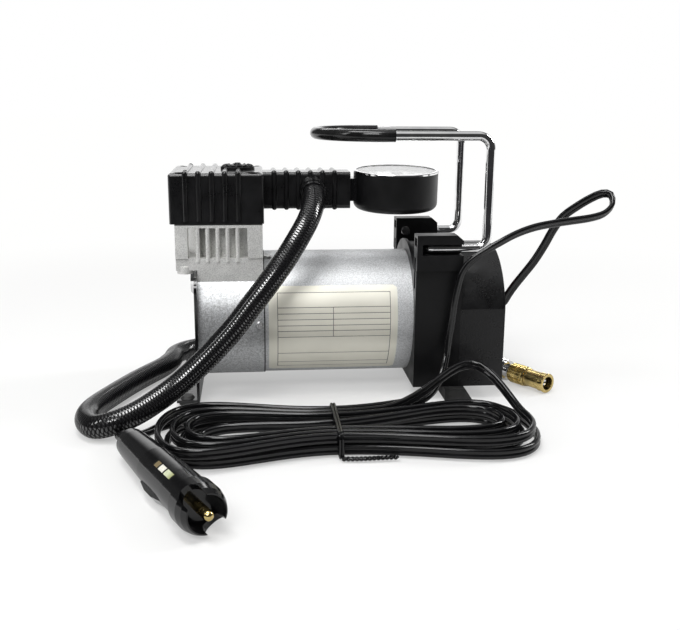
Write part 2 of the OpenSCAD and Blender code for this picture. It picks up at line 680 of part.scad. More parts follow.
// The lower pair stands this far above the underside
cover_screw_low = housing_gap - axis_h + 5.1;
cover_screw_at = [[-31, cover_screw_low], [31, cover_screw_low], [-24, 24], [24, 24]];
// Frames with +Z along +X, on the joint between housing and cover
module at_cover_screws() on_axis() for (p = cover_screw_at)
  translate([housing_right, p[0], p[1]]) rotate([0, 90, 0]) children();
switch_w = 15;
switch_h = 21;
switch_up = 20;
gland_y = 4;
gland_d = 9;
vent_count = 5;
vent_w = 2.5;
vent_pitch = 8;
vent_h = 16;
// Middle of the vents, counted from the underside
vent_z = housing_gap - axis_h + 17.1;
// Frame of the switch, on the floor of its pocket
module at_switch() on_axis() translate([machine_right - switch_in, 0, switch_up]) children();
module end_cover() color([0.12, 0.12, 0.12]) difference() {
  union() {
    difference() {
      on_axis() {
        along_x(housing_right, machine_right - 1.5) arch(0);
        along_x(machine_right - 1.5 - weld, machine_right) arch(1.2);
      }
      on_axis() along_x(housing_right - 1, machine_right - cover_wall) difference() {
        arch(cover_wall);
        for (p = cover_screw_at) translate(p) circle(4);
      }
    }
    at_switch() translate([(switch_in - cover_wall) / 2 - 0.1, 0, 0]) cube(center = true,
      [switch_in + cover_wall - 0.2, switch_w + 2 * cover_wall, switch_h + 2 * cover_wall]);
  }
  // Pocket for the switch, and the hole for its body
  at_switch() translate([switch_in, 0, 0]) cube([2 * switch_in, switch_w + 1, switch_h + 1], center = true);
  at_switch() cube([10, switch_w - 3, switch_h - 3], center = true);
  at_cover_screws() translate([0, 0, -1]) cylinder(d = cover_screw_d + 2 * fit_gap, h = cover_len + 3);
  at_cover_screws() translate([0, 0, cover_screw_seat]) cylinder(d = cover_screw_head + 0.4, h = 5);
  on_axis() x_bar_at(gland_y, 0, gland_d - 3, machine_right - 6, machine_right + 1);
  // Vent slots under the cord
  on_axis() for (i = [0:vent_count - 1])
    translate([machine_right, (i - (vent_count - 1) / 2) * vent_pitch, vent_z])
      cube([10, vent_w, vent_h], center = true);
}
module x_bar_at(y, z, d, x0, x1) translate([0, y, z]) x_bar(d, x0, x1);
module cover_screws() color("dimgray") at_cover_screws() difference() {
  union() {
    translate([0, 0, -cover_screw_bite])
      cylinder(d = cover_screw_d, h = cover_screw_bite + cover_screw_seat + weld);
    translate([0, 0, cover_screw_seat]) cylinder(d = cover_screw_head, h = 1.8);
  }
  for (a = [0, 90]) rotate([0, 0, a]) translate([0, 0, cover_len]) cube([4, 0.8, 2.4], center = true);
}

// The rear feet reach this far to each side of their pegs, and flare at the back
foot_front = 4.5;
foot_back = 7;
foot_flare = 5;
foot_w = 24;
foot_y = housing_w / 2 - 7;
module at_rear_feet() at_seam() mirror_y() translate([housing_right - 4, foot_y, 0]) children();
// Rubber feet that flare towards the floor
module rear_feet() color([0.08, 0.08, 0.08]) at_rear_feet() {
  translate([0, foot_w - 11, 0]) rotate([90, 0, 0]) linear_extrude(foot_w) {
    polygon([[2 - foot_front, 0], [foot_back + foot_flare, 0], [foot_back, housing_gap],
      [-foot_front, housing_gap], [-foot_front, 2]]);
    translate([2 - foot_front, 2]) circle(2);
  }
  translate([0, 0, housing_gap - weld]) cylinder(d = 4, h = 2.6);
}

/* Switch and strain relief, on the flat end */
module switch_body() color([0.07, 0.07, 0.07]) at_switch() difference() {
  union() {
    along_x(0, 1.8) round_rect([switch_w, switch_h], 1.5);
    translate([-5, 0, 0]) cube([10 + weld, switch_w - 3.4, switch_h - 3.4], center = true);
  }
  cube([9, rocker_w + 0.6, rocker_h + 1.4], center = true);
}
rocker_w = 8.6;
rocker_h = 14;
rocker_throw = 16;
// The rocker turns on stubs in the switch body, and rests with its lower half pressed
module switch_rocker() color([0.6, 0.05, 0.04]) at_switch()
  rotate([0, rocker_throw / 2, 0]) intersection() {
    translate([-1.8, 0, 0]) y_bar_polygon();
    translate([-2, 0, 0]) y_bar(2 * 7.2, -rocker_w / 2, rocker_w / 2);
  }
// A shallow V that shows one half or the other
module y_bar_polygon() translate([0, rocker_w / 2, 0]) rotate([90, 0, 0]) linear_extrude(rocker_w)
  polygon([[-1.2, -rocker_h / 2], [4.6, -rocker_h / 2], [3.4, 0], [4.6, rocker_h / 2], [-1.2, rocker_h / 2]]);

relief_len = 6.7;
module strain_relief() color([0.07, 0.07, 0.07]) on_axis() translate([machine_right, gland_y, 0])
  rotate([0, 90, 0]) {
    cylinder(d = gland_d + 2, h = 1.6);
    translate([0, 0, 1.6 - weld]) cylinder(d1 = gland_d, d2 = gland_d - 1.6, h = relief_len - 1.6);
    translate([0, 0, -cover_wall - 0.1]) cylinder(d = gland_d - 3 - 2 * fit_gap, h = cover_wall + 1);
  }

/* Handle: one bent wire */
leg_x = machine_right - 11.7;
bow_r = bar_y;
bow_x = leg_x - handle_reach + bow_r;
bend_r = 7;
foot_bend_r = 6;
hook_r = 3.5;
// Room in the slot for the bend of the hook
hook_gap = 0.75;
// A quarter bend of radius r in the plane of local X and Z, from +X round to -Z
module bend(r, d) rotate([90, 0, 0]) rotate_extrude(angle = 90) translate([r, 0]) circle(d = d);
module z_bar(d, z0, z1) translate([0, 0, z0]) cylinder(d = d, h = z1 - z0);
module bow(d) translate([bow_x, 0, handle_h]) rotate([0, 0, 90])
  rotate_extrude(angle = 180) translate([bow_r, 0]) circle(d = d);
module handle_wire() color("gainsboro") at_seam() {
  bow(wire_d);
  mirror_y() translate([0, bar_y, 0]) {
    translate([0, 0, handle_h]) x_bar(wire_d, bow_x, leg_x - bend_r);
    translate([leg_x - bend_r, 0, handle_h - bend_r]) bend(bend_r, wire_d);
    translate([leg_x, 0, 0]) z_bar(wire_d, run_z + foot_bend_r, handle_h - bend_r);
    translate([leg_x - foot_bend_r, 0, run_z + foot_bend_r]) mirror([0, 0, 1]) bend(foot_bend_r, wire_d);
    translate([0, 0, run_z]) x_bar(wire_d, hole_x + hook_r, leg_x - foot_bend_r);
    translate([hole_x + hook_r, -hook_r, run_z]) rotate([0, 0, 90])
      rotate_extrude(angle = 90) translate([hook_r, 0]) circle(d = wire_d);
    translate([hole_x, 0, run_z]) y_bar(wire_d, ear_in - bar_y - 1.2, -hook_r);
  }
}
// The sleeve's section: a ring that clears the wire
module grip_ring() difference() {
  circle(d = wire_d + 2 * run_gap + 2 * grip_wall);
  circle(d = wire_d + 2 * run_gap);
}
module handle_grip() color([0.05, 0.05, 0.05]) at_seam() translate([bow_x, 0, handle_h]) {
  rotate([0, 0, 90]) rotate_extrude(angle = 180) translate([bow_r, 0]) grip_ring();
  mirror_y() translate([0, bar_y, 0]) rotate([0, 90, 0]) linear_extrude(grip_straight) grip_ring();
}

/* Cord functions */
function unit(v) = v / norm(v);
// Direction of a route at each of its points
function tangents(p) = let (n = len(p) - 1) [for (i = [0:n])
  unit(i == 0 ? p[1] - p[0] : i == n ? p[n] - p[n - 1] : unit(p[i + 1] - p[i]) + unit(p[i] - p[i - 1]))];
// Side directions carried along a route without twist, from a first side
function sides(t, first) = [for (i = 0, s = unit(first - t[0] * (first * t[0])); i < len(t);
  i = i + 1, s = i < len(t) ? unit(s - t[i] * (s * t[i])) : s) s];
// One closed tube along points p, with side vectors s, and half sizes a along s and b across it
module tube(p, t, s, a, b, n) {
  m = len(p);
  rings = [for (i = [0:m - 1]) let (u = cross(t[i], s[i])) for (k = [0:n - 1])
    p[i] + s[i] * (a * cos((k + 0.5) * 360 / n)) + u * (b * sin((k + 0.5) * 360 / n))];
  quads = [for (i = [0:m - 2], k = [0:n - 1]) let (q = i * n + k, r = i * n + (k + 1) % n)
    each [[q, r, q + n], [r, r + n, q + n]]];
  caps = [for (k = [1:n - 2]) each [[0, k + 1, k], [(m - 1) * n, (m - 1) * n + k, (m - 1) * n + k + 1]]];
  polyhedron(points = rings, faces = [for (f = concat(quads, caps)) [f[0], f[2], f[1]]]);
}

/* Hose with its ferrule and chuck */
ferrule_len = 4.8;
module hose_ferrule() color("gainsboro") at_hose_port() difference() {
  union() {
    translate([0, 0, -2.5]) cylinder(d = ferrule_d, h = 4.5);
    cylinder(d = hose_d + 1.4, h = ferrule_len);
  }
  translate([0, 0, 3]) cylinder(d = hose_d + 0.2, h = ferrule_len);
  translate([0, 0, -5]) cylinder(d = air_bore, h = 20);
}
// Route of the hose, from the ferrule to the chuck, with the bow it makes on the floor
hose_route = [[-13.45, -12.9, 113.6], [-13.45, -18.4, 111.3], [-14.5, -26, 107], [-18.2, -35, 100],
  [-24.3, -43, 91], [-30, -48, 83], [-35.5, -52, 76], [-42, -55.5, 68], [-49.5, -58.5, 59], [-59, -62, 47.5],
  [-72, -66, 34.5], [-85.5, -71, 23.2], [-97, -77, 16.2], [-107, -83, 11.8], [-117, -86.5, 8.8],
  [-125.5, -84.5, 6.7], [-131, -75.5, 6.2], [-132.3, -63.5, 6.2], [-129.7, -50.5, 6.2], [-124, -34.5, 6.2],
  [-116.5, -15.5, 6.2], [-108.8, 1, 6.2], [-102, 15, 6.2], [-98, 29, 6.2], [-96.4, 41.5, 6.2], [-91, 51, 6.2],
  [-81, 58, 6.2], [-66, 62.5, 6.2], [-46, 64.3, 6.2], [-18, 64.5, 6.2], [12, 64, 6.2], [42, 62.5, 6.2],
  [66, 59.5, 6.2], [84, 53.5, 6.2], [95, 45.5, 6.2], [101, 35, 6.2], [102, 24, 6.2], [100, 13, 6.2],
  [98.1, 6.3, 6.2], [97.38, 2.47, 6.2], [99.1, -0.4, 6.2]];
module hose() color([0.12, 0.12, 0.13]) {
  t = tangents(hose_route);
  tube(hose_route, t, sides(t, [1, 0, 0]), hose_d / 2, hose_d / 2, 10);
}

// The chuck lies on the floor: +Z of its frame points out of its mouth
chuck_at = [105.3, -10.7, 6.2];
chuck_yaw = -59;
module at_chuck() translate(chuck_at) rotate([0, 0, chuck_yaw]) rotate([0, 90, 0]) children();
collar_d = 12.4;
chuck_ferrule_len = 12;
bore_depth = 9;
module chuck_stem() color("gainsboro") at_chuck() {
  translate([0, 0, -chuck_ferrule_len]) cylinder(d = collar_d - 0.6, h = chuck_ferrule_len - 3);
  translate([0, 0, -3.2]) cylinder(d = 8, h = 3.4);
  translate([0, 0, -0.2]) cylinder(d = 6, h = chuck_len - bore_depth - 2);
  translate([0, 0, chuck_len - bore_depth - 2.3]) difference() {
    cylinder(d = 3.2, h = bore_depth);
    translate([0, 0, bore_depth]) cube([0.8, 5, 4], center = true);
  }
}
module chuck_barrel() color("goldenrod") at_chuck() difference() {
  union() {
    translate([0, 0, 0.4]) cylinder(d = chuck_d, h = chuck_len * 0.42);
    translate([0, 0, 0.4]) cylinder(d = chuck_d - 0.8, h = chuck_len - 0.4);
    translate([0, 0, chuck_len - 3.6]) cylinder(d = chuck_d - 0.2, h = 3.6);
  }
  translate([0, 0, -1]) cylinder(d = 6 + 2 * run_gap, h = chuck_len);
  translate([0, 0, chuck_len - bore_depth]) cylinder(d = valve_d, h = bore_depth + 1);
}
module chuck_seal() color([0.1, 0.1, 0.1]) at_chuck() translate([0, 0, chuck_len - bore_depth]) difference() {
  cylinder(d = valve_d - 2 * run_gap, h = 1.5);
  translate([0, 0, -1]) cylinder(d = 3.2 + 2 * run_gap, h = 4);
}

/* Power cord: the free lead, the hank and the tail to the plug */
lead_route = [[98, 4, 43.7], [100, 4, 43.8], [102.4, 3.8, 46.2], [104.5, 3.2, 50.5], [108, 2, 56.5],
  [112.7, 0.5, 63.5], [118, -1, 71.5], [123, -2.5, 81], [127, -4, 90], [132, -5.5, 98], [139, -7.5, 104],
  [146, -10, 109], [151.5, -13, 112], [155, -17, 111.5], [154.5, -21, 106.5], [149, -24, 102], [140, -27, 100],
  [129, -30, 99], [117, -33.5, 98], [105, -37.5, 96.5], [94, -41, 93.5], [85, -43.4, 89.5], [76, -43.8, 84.5],
  [69, -43.8, 79.5], [64.5, -43.8, 73], [62.5, -43.8, 65], [61, -43.8, 56], [60, -43.8, 46], [58.5, -44.2, 36],
  [57, -46, 27], [54, -51, 19], [49.5, -57, 14], [44.5, -62.8, 11.2], [37.9, -67.7, 9.8], [32.45, -69.84, 9.7],
  [31.5, -70.14, 9.7]];
// The cord comes out of the hank on edge, so the lead is swept from that end
module power_lead() color([0.06, 0.06, 0.06]) {
  p = [for (i = [len(lead_route) - 1:-1:0]) lead_route[i]];
  t = tangents(p);
  tube(p, t, sides(t, [0, 0, 1]), cord_w / 2, cord_t / 2, 8);
}
// The tail leaves the hank on edge too, and turns flat to pass under the hose
tail_route = [[-83.3, -69.54, 3.7], [-84.3, -69.67, 3.7], [-87.7, -71.5, 3.6], [-94.2, -76, 2.8],
  [-100, -80.8, 1.9], [-105, -85, 1.6], [-109, -89, 1.8], [-111.6, -92.3, 3.2], [-112.1, -95.2, 5.6],
  [-110.9, -97.4, 7.42], [-109.2, -101.05, 7.55]];
module plug_tail() color([0.06, 0.06, 0.06]) {
  t = tangents(tail_route);
  s = [for (i = [0:len(t) - 1]) let (turn = max(0, min(90, 25 * (i - 1))), flat = unit(cross(t[i], [0, 0, 1])))
    cross(flat, t[i]) * cos(turn) + flat * sin(turn)];
  tube(tail_route, t, s, cord_w / 2, cord_t / 2, 8);
}

// Hank: loops that spiral in on the upper layer, climb down a layer, and spiral out
hank_at = [-1, -99];
hank_half_len = 95;
hank_waist_x = -8;
tie_t = 0.9;
hank_waist = 20;
// How far the hank swells behind, and in front at its left and right
swell_behind = 62;
swell_left = 74;
swell_right = 44;
loops_per_layer = 3;
rings_per_loop = 24;
layer_z = [tie_t + cord_w / 2 + 0.1, tie_t + cord_w * 3 / 2 + 0.7];
// Steps between neighbouring loops: at the ends, at the waist and in the swell
end_step = 7;
waist_step = 4.4;
swell_step = 7;
first_angle = 70;
last_angle = 2 * loops_per_layer * 360 + 150;
// One strand of the top layer springs up beside the switch end, between these angles
lift_at = [365, 399, 440];
lift_h = 16;
lift_out = 10;
function hump(a, at) = a <= at[0] || a >= at[2] ? 0
  : a < at[1] ? pow(sin(90 * (a - at[0]) / (at[1] - at[0])), 2)
  : pow(cos(90 * (a - at[1]) / (at[2] - at[1])), 2);
function hank_point(angle) = let (
  half = loops_per_layer * 360,
  turned = (angle - first_angle) / 360,
  whole = (last_angle - first_angle) / 360,
  mid = whole / 2,
  inset = turned < mid ? turned : whole - turned,
  climb = max(0, min(1, (turned - mid + 0.15) / 0.3)),
  x = (hank_half_len - end_step * inset) * cos(angle),
  drawn = (hank_at.x + x - hank_waist_x) / hank_half_len,
  swell = sin(angle) > 0 ? swell_behind : drawn < 0 ? swell_left : swell_right,
  y = sin(angle) * (hank_waist - waist_step * inset + (swell - swell_step * inset) * drawn * drawn),
  lift = hump(angle, lift_at))
  [hank_at.x + x, hank_at.y + y + lift_out * lift * lift,
   layer_z[1] + (layer_z[0] - layer_z[1]) * climb + lift_h * lift];
hank_rings = floor((last_angle - first_angle) * rings_per_loop / 360);
hank_points = [for (i = [0:hank_rings]) hank_point(first_angle + (last_angle - first_angle) * i / hank_rings)];
// Least gap between strands that are not neighbours along the cord, for cord that stands on edge
probe = [for (a = [first_angle:5:last_angle]) hank_point(a)];
function strand_gap(a, b) = max(abs(a.z - b.z) - cord_w, norm([a.x - b.x, a.y - b.y]) - cord_t);
function hank_gap() = min([for (i = [0:len(probe) - 20], j = [i + 18:len(probe) - 1])
  strand_gap(probe[i], probe[j])]);
module cord_hank() color([0.06, 0.06, 0.06]) {
  t = tangents(hank_points);
  s = [for (v = t) unit(cross(v, [0, 0, 1]))];
  tube(hank_points, t, s, cord_t / 2, cord_w / 2, 6);
  echo(least_gap_in_hank = hank_gap());
}

// Wire tie round the waist of the hank, with its twisted ends
tie_w = 2.2;
tie_in = hank_waist + cord_t / 2 + 0.4;
tie_h = layer_z[1] + cord_w / 2 + 0.2;
tie_tail = 26;
module hank_tie() color([0.1, 0.1, 0.1]) {
  translate([hank_waist_x - tie_w / 2, hank_at.y, 0]) rotate([90, 0, 90]) linear_extrude(tie_w) difference() {
    translate([0, tie_h / 2 + tie_t / 2]) round_rect([2 * tie_in + 2 * tie_t, tie_h + tie_t], 3);
    translate([0, tie_h / 2 + tie_t / 2]) round_rect([2 * tie_in, tie_h - tie_t], 2.1);
  }
  translate([hank_waist_x, hank_at.y - tie_in - tie_t - 1, 2.2]) rotate([0, 90, -6])
    cylinder(d = 2.6, h = tie_tail);
}

/* Lighter plug, lying on the floor: +Z of its frame points out of its nose */
plug_at = [-105.4, -109.2, 7.85];
plug_yaw = -65;
plug_tilt = 1.9;
module at_plug() translate(plug_at) rotate([0, 0, plug_yaw]) rotate([0, 90 - plug_tilt, 0]) children();
// Turns the plug's frame so that +X points up, away from the floor
module plug_up() at_plug() rotate([0, 0, 180]) children();
nose_r = nose_d / 2;
body_r = nose_r - 1.1;
nose_len = 15;
nose_wall = 2.6;
pin_r = 2.2;
pin_rim = 1.2;
// The tip's pin, from its rim to its round end, and where its hole begins
tip_reach = 18;
tip_travel = 3;
tip_seat = plug_len + 7;
boot_len = 9;
// The window faces this far round from the top, and the contacts this far to each side
window_angle = 32;
contact_angle = 125;
window_w = 3;
window_len = 21;
window_from = 49;
window_sunk = 2;
module at_window() plug_up() rotate([0, 0, window_angle]) translate([0, 0, window_from]) children();
module plug_body() color([0.05, 0.05, 0.05]) difference() {
  at_plug() rotate_extrude() polygon([[0, -boot_len], [3.4, -boot_len], [4, -1], [body_r - 3, -0.2],
    [body_r - 2.3, 1], [body_r - 1.9, 6], [body_r - 0.5, plug_len * 0.55], [body_r, plug_len],
    [body_r, plug_len + 12], [nose_r - nose_wall - 0.1, plug_len + 12],
    [nose_r - nose_wall - 0.1, plug_len + 17],
    [0, plug_len + 17]]);
  at_plug() translate([0, 0, tip_seat]) cylinder(r = pin_r + run_gap, h = 2 * tip_reach);
  at_plug() translate([0, 0, tip_seat]) cylinder(r = pin_r + pin_rim + run_gap, h = 2 * tip_travel);
  at_window() translate([body_r - window_sunk, -window_w / 2, 0]) cube([5, window_w, window_len]);
  for (s = [-1, 1]) at_contact(s) translate([-1.4, -contact_w / 2 - 0.2, -contact_half - 0.2])
    cube([6, contact_w + 0.4, 2 * contact_half + 0.4]);
}
module plug_window() color([0.75, 0.85, 0.7]) at_window() intersection() {
  translate([body_r - window_sunk, fit_gap - window_w / 2, fit_gap])
    cube([4, window_w - 2 * fit_gap, window_len - 2 * fit_gap]);
  cylinder(r1 = body_r - 0.4, r2 = body_r, h = window_len);
}
// A collar round the tip, cut away in line with the window, so that two lobes stand
notch_w = 9;
notch_depth = 9;
module plug_nose() color([0.07, 0.07, 0.07]) plug_up() translate([0, 0, plug_len + 12]) difference() {
  rotate_extrude() polygon([[nose_r - nose_wall, 0], [nose_r - 0.4, 0], [nose_r, 0.6], [nose_r, 8],
    [nose_r - 0.8, 12], [nose_r - 2, nose_len], [nose_r - nose_wall, nose_len]]);
  rotate([0, 0, window_angle]) translate([0, 0, nose_len - notch_depth]) {
    translate([-nose_d / 2 - 1, -notch_w / 2, notch_w / 2]) cube([nose_d + 2, notch_w, nose_len]);
    translate([0, 0, notch_w / 2]) rotate([0, 90, 0]) cylinder(d = notch_w, h = nose_d + 2, center = true);
  }
}
module plug_tip() color("gainsboro") at_plug() {
  translate([0, 0, tip_seat + tip_travel]) {
    cylinder(r = pin_r + pin_rim, h = tip_travel / 2);
    cylinder(r = pin_r, h = tip_reach);
    translate([0, 0, tip_reach]) sphere(r = pin_r);
  }
}
contact_w = 4;
contact_half = 12;
// Middle of the contacts, counted back from the end of the body's taper
contact_back = 14.4;
module at_contact(side) plug_up() rotate([0, 0, side * contact_angle])
  translate([body_r - 1, 0, plug_len - contact_back]) children();
module contact(side) color("silver") at_contact(side) rotate([90, 0, 0])
  linear_extrude(contact_w, center = true)
  polygon([[0.1, -contact_half], [0.9, -contact_half], [2.2, -4], [2.2, 4], [0.9, contact_half],
    [0.1, contact_half]]);
module plug_contact_a() contact(1);
module plug_contact_b() contact(-1);

motor_can();
magnets();
end_bell();
rear_bearing();
brush_holder();
brushes();
motor_shaft();
armature_core();
windings();
commutator();
crank_disc();
crankcase();
front_bearing();
cylinder_block();
cylinder_sleeve();
piston();
piston_cup();
connecting_rod();
crank_pin();
valve_plate();
outlet_reed();
head_gasket();
cylinder_head();
head_screws();
intake_cap();
front_plate();
plate_screws();
breather_cap();
front_feet();
seam_screws();
gauge_neck();
gauge_case();
gauge_bezel();
gauge_lens();
gauge_dial();
gauge_needle();
rear_housing();
end_cover();
cover_screws();
rear_feet();
handle_wire();
handle_grip();
switch_body();
switch_rocker();
strain_relief();
hose_ferrule();
hose();
chuck_stem();
chuck_barrel();
chuck_seal();
power_lead();
cord_hank();
hank_tie();
plug_tail();
plug_body();
plug_window();
plug_nose();
plug_tip();
plug_contact_a();
plug_contact_b();
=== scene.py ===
"""Looks of a portable 12 V tire inflator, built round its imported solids, in metres."""
import json
import math

import bpy
from bpy.props import FloatProperty, FloatVectorProperty, IntProperty, PointerProperty
from bpy.types import Operator, Panel, PropertyGroup
from mathutils import Matrix, Vector


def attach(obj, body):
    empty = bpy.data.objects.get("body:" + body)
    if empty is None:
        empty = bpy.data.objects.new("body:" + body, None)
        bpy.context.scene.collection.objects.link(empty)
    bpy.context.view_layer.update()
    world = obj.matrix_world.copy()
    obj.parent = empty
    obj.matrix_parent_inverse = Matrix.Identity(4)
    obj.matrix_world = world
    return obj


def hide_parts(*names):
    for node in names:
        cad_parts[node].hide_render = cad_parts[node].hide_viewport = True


bl_info = {
    "name": "Tire inflator looks",
    "version": (1, 0, 0),
    "blender": (4, 5, 0),
    "location": "3D View > Sidebar > Inflator",
    "description": "Cords, label, dial, knurls and finishes of a portable tire inflator",
    "category": "Object",
}

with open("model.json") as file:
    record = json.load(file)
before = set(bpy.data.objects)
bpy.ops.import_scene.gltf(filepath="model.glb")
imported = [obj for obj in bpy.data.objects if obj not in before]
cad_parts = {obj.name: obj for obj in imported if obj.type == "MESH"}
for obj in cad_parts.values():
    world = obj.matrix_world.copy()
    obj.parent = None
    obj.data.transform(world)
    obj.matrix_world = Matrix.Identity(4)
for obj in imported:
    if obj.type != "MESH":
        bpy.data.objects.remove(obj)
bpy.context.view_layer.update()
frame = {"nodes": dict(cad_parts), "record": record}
nodes = frame["nodes"]
MM = 0.001


# ---- settings


def tone(name, description, default):
    return FloatVectorProperty(
        name=name, description=description, subtype="COLOR", size=3, min=0, max=1, default=default
    )


def length(name, description, default_mm, low_mm, high_mm):
    return FloatProperty(
        name=name, description=description, unit="LENGTH", precision=5,
        default=default_mm * MM, min=low_mm * MM, max=high_mm * MM,
    )


class InflatorColours(PropertyGroup):
    paint: tone("Metallic paint", "Colour of the drum and the motor can", (0.60, 0.61, 0.62))
    casting: tone("Casting", "Colour of the bare cast aluminium", (0.84, 0.84, 0.82))
    black: tone("Black parts", "Colour of the painted head, the housing and the cover", (0.0045, 0.0045, 0.005))
    brass: tone("Brass", "Colour of the chuck's barrel", (0.86, 0.67, 0.28))
    braid: tone("Braid", "Colour of the hose's woven sleeve", (0.007, 0.007, 0.008))
    jacket: tone("Cord jacket", "Colour of the power cord", (0.004, 0.004, 0.0045))
    foil: tone("Label foil", "Colour of the label plate", (0.96, 0.94, 0.83))
    print_ink: tone("Label lines", "Colour of the lines ruled on the label", (0.16, 0.14, 0.12))
    rocker: tone("Rocker", "Colour of the switch's rocker", (0.40, 0.02, 0.02))


class InflatorSizes(PropertyGroup):
    hose_width: length("Hose width", "Outer diameter of the braided hose", 12, 10, 12.4)
    cord_width: length("Cord width", "Width of the flat twin cord", 5.4, 4, 5.8)
    cord_thickness: length("Cord thickness", "Thickness of the flat twin cord", 2.8, 2, 3)
    braid_step: length("Braid step", "Distance between crossings along the hose", 1.6, 0.8, 4)
    braid_ends: IntProperty(
        name="Braid ends", description="Strands round the hose in each direction", default=8, min=6, max=48
    )
    tie_wire: length("Tie wire", "Diameter of the wire that ties the hank", 1.3, 0.8, 2)
    knurl_tooth: length("Knurl tooth", "Width of one tooth of the chuck's knurl", 0.8, 0.4, 1.4)
    label_foil: length("Label foil", "Thickness of the label plate", 0.15, 0.05, 0.4)


def colours():
    return bpy.context.scene.inflator_colours


def sizes():
    return bpy.context.scene.inflator_sizes


# ---- node trees

# Outputs of the texture coordinate node
GENERATED_OUTPUT, OBJECT_OUTPUT = 0, 3


class Value:
    """What a node gives, with Python's sums on it."""

    def __init__(self, shading, socket):
        self.shading, self.socket = shading, socket

    def sum(self, operation, first, second=0.0):
        return self.shading.node("ShaderNodeMath", {"operation": operation}, {0: first, 1: second})

    def __add__(self, other):
        return self.sum("ADD", self, other)

    def __sub__(self, other):
        return self.sum("SUBTRACT", self, other)

    def __mul__(self, other):
        return self.sum("MULTIPLY", self, other)

    def __truediv__(self, other):
        return self.sum("DIVIDE", self, other)

    def __rsub__(self, other):
        return self.sum("SUBTRACT", other, self)

    __radd__ = __add__
    __rmul__ = __mul__

    def fraction(self):
        return self.sum("FRACT", self)

    def floor(self):
        return self.sum("FLOOR", self)

    def sine(self):
        return self.sum("SINE", self)

    def at_least(self, other):
        return self.sum("MAXIMUM", self, other)

    def spread(self, low, high, to_low=0.0, to_high=1.0):
        """Carries low..high on to to_low..to_high along a soft step, and stops at both ends."""
        return self.shading.node(
            "ShaderNodeMapRange", {"interpolation_type": "SMOOTHSTEP"},
            {"Value": self, "From Min": low, "From Max": high, "To Min": to_low, "To Max": to_high},
        )


class Shading:
    """The node tree of a material or the world."""

    def __init__(self, owner):
        owner.use_nodes = True
        self.owner, self.tree = owner, owner.node_tree

    def plug(self, value, socket):
        if isinstance(value, Value):
            self.tree.links.new(value.socket, socket)
        elif hasattr(value, "__len__"):
            filled = list(value)
            socket.default_value = filled + [1.0] * (len(socket.default_value) - len(filled))
        else:
            socket.default_value = value

    def node(self, kind, settings=None, inputs=None, output=0):
        """One node: its kind, its settings, and the values or links of its sockets."""
        made = self.tree.nodes.new(kind)
        for key, setting in (settings or {}).items():
            setattr(made, key, setting)
        for key, value in (inputs or {}).items():
            self.plug(value, made.inputs[key])
        return Value(self, made.outputs[output])

    def mix(self, factor, first, second):
        """A colour between two colours."""
        made = self.tree.nodes.new("ShaderNodeMix")
        made.data_type = "RGBA"
        for value, name in ((factor, "Factor_Float"), (first, "A_Color"), (second, "B_Color")):
            self.plug(value, next(s for s in made.inputs if s.identifier == name))
        return Value(self, next(s for s in made.outputs if s.identifier == "Result_Color"))

    def split(self, vector):
        """The three parts of a vector."""
        made = self.tree.nodes.new("ShaderNodeSeparateXYZ")
        self.plug(vector, made.inputs[0])
        return [Value(self, socket) for socket in made.outputs]

    def ray(self, *kinds):
        """1 where a ray is one of these kinds."""
        path = self.tree.nodes.new("ShaderNodeLightPath")
        total, *others = (Value(self, path.outputs[f"Is {kind} Ray"]) for kind in kinds)
        for other in others:
            total = total.at_least(other)
        return total


class Finish(Shading):
    """A material round one Principled shader. Patterns read object coordinates, in metres, or a cord's own map."""

    def __init__(self, name, shader=None):
        super().__init__(bpy.data.materials.new(name + "_finish"))
        self.shader = self.tree.nodes["Principled BSDF"]
        for socket, value in (shader or {}).items():
            self.set(socket, value)

    def set(self, socket, value):
        self.plug(value, self.shader.inputs[socket])

    def place(self, stretch=(1, 1, 1)):
        point = self.node("ShaderNodeTexCoord", output=OBJECT_OUTPUT)
        return self.node("ShaderNodeMapping", {}, {"Vector": point, "Scale": stretch})

    def along_cord(self):
        """Distance round a cord, from 0 to 1, and along it, in metres."""
        return self.split(self.node("ShaderNodeUVMap", {"uv_map": "cord"}))[:2]

    def noise(self, size_mm, detail=2.0, place=None):
        """Cloudy noise whose clouds are about size_mm across."""
        return self.node("ShaderNodeTexNoise", {},
                         {"Vector": place or self.place(), "Scale": 1 / (size_mm * MM), "Detail": detail})

    def bump(self, height, depth_mm):
        return self.node("ShaderNodeBump", {}, {"Height": height, "Distance": depth_mm * MM, "Strength": 1.0})


def grained(name, dark, light, rough, cloud_mm, grain_mm, depth_mm, shader=None, stretch=(1, 1, 1)):
    """A finish whose tone and gloss drift in clouds, and whose skin has fine grains."""
    f = Finish(name, shader)
    drift = f.noise(cloud_mm, detail=3)
    grain = f.noise(grain_mm, detail=2, place=f.place(stretch))
    if dark:
        f.set("Base Color", f.mix(drift.spread(0.3, 0.7), dark, light))
    f.set("Roughness", (drift * 0.6 + grain * 0.4).spread(0.3, 0.7, *rough))
    f.set("Normal", f.bump(grain, depth_mm))
    return f


def shade(colour, factor):
    return tuple(min(1.0, channel * factor) for channel in colour)


def flecked(name, dark, light, rough, cloud_mm, grain_mm, depth_mm, metallic, flecks):
    """A grained finish strewn with dark and light flecks, given by their size in mm, their detail and their share."""
    f = grained(name, None, None, rough, cloud_mm, grain_mm, depth_mm, {"Metallic": metallic})
    strewn = sum(f.noise(size_mm, detail) * share for size_mm, detail, share in flecks)
    f.set("Base Color", f.mix(strewn.spread(0.36, 0.64), dark, light))
    return f


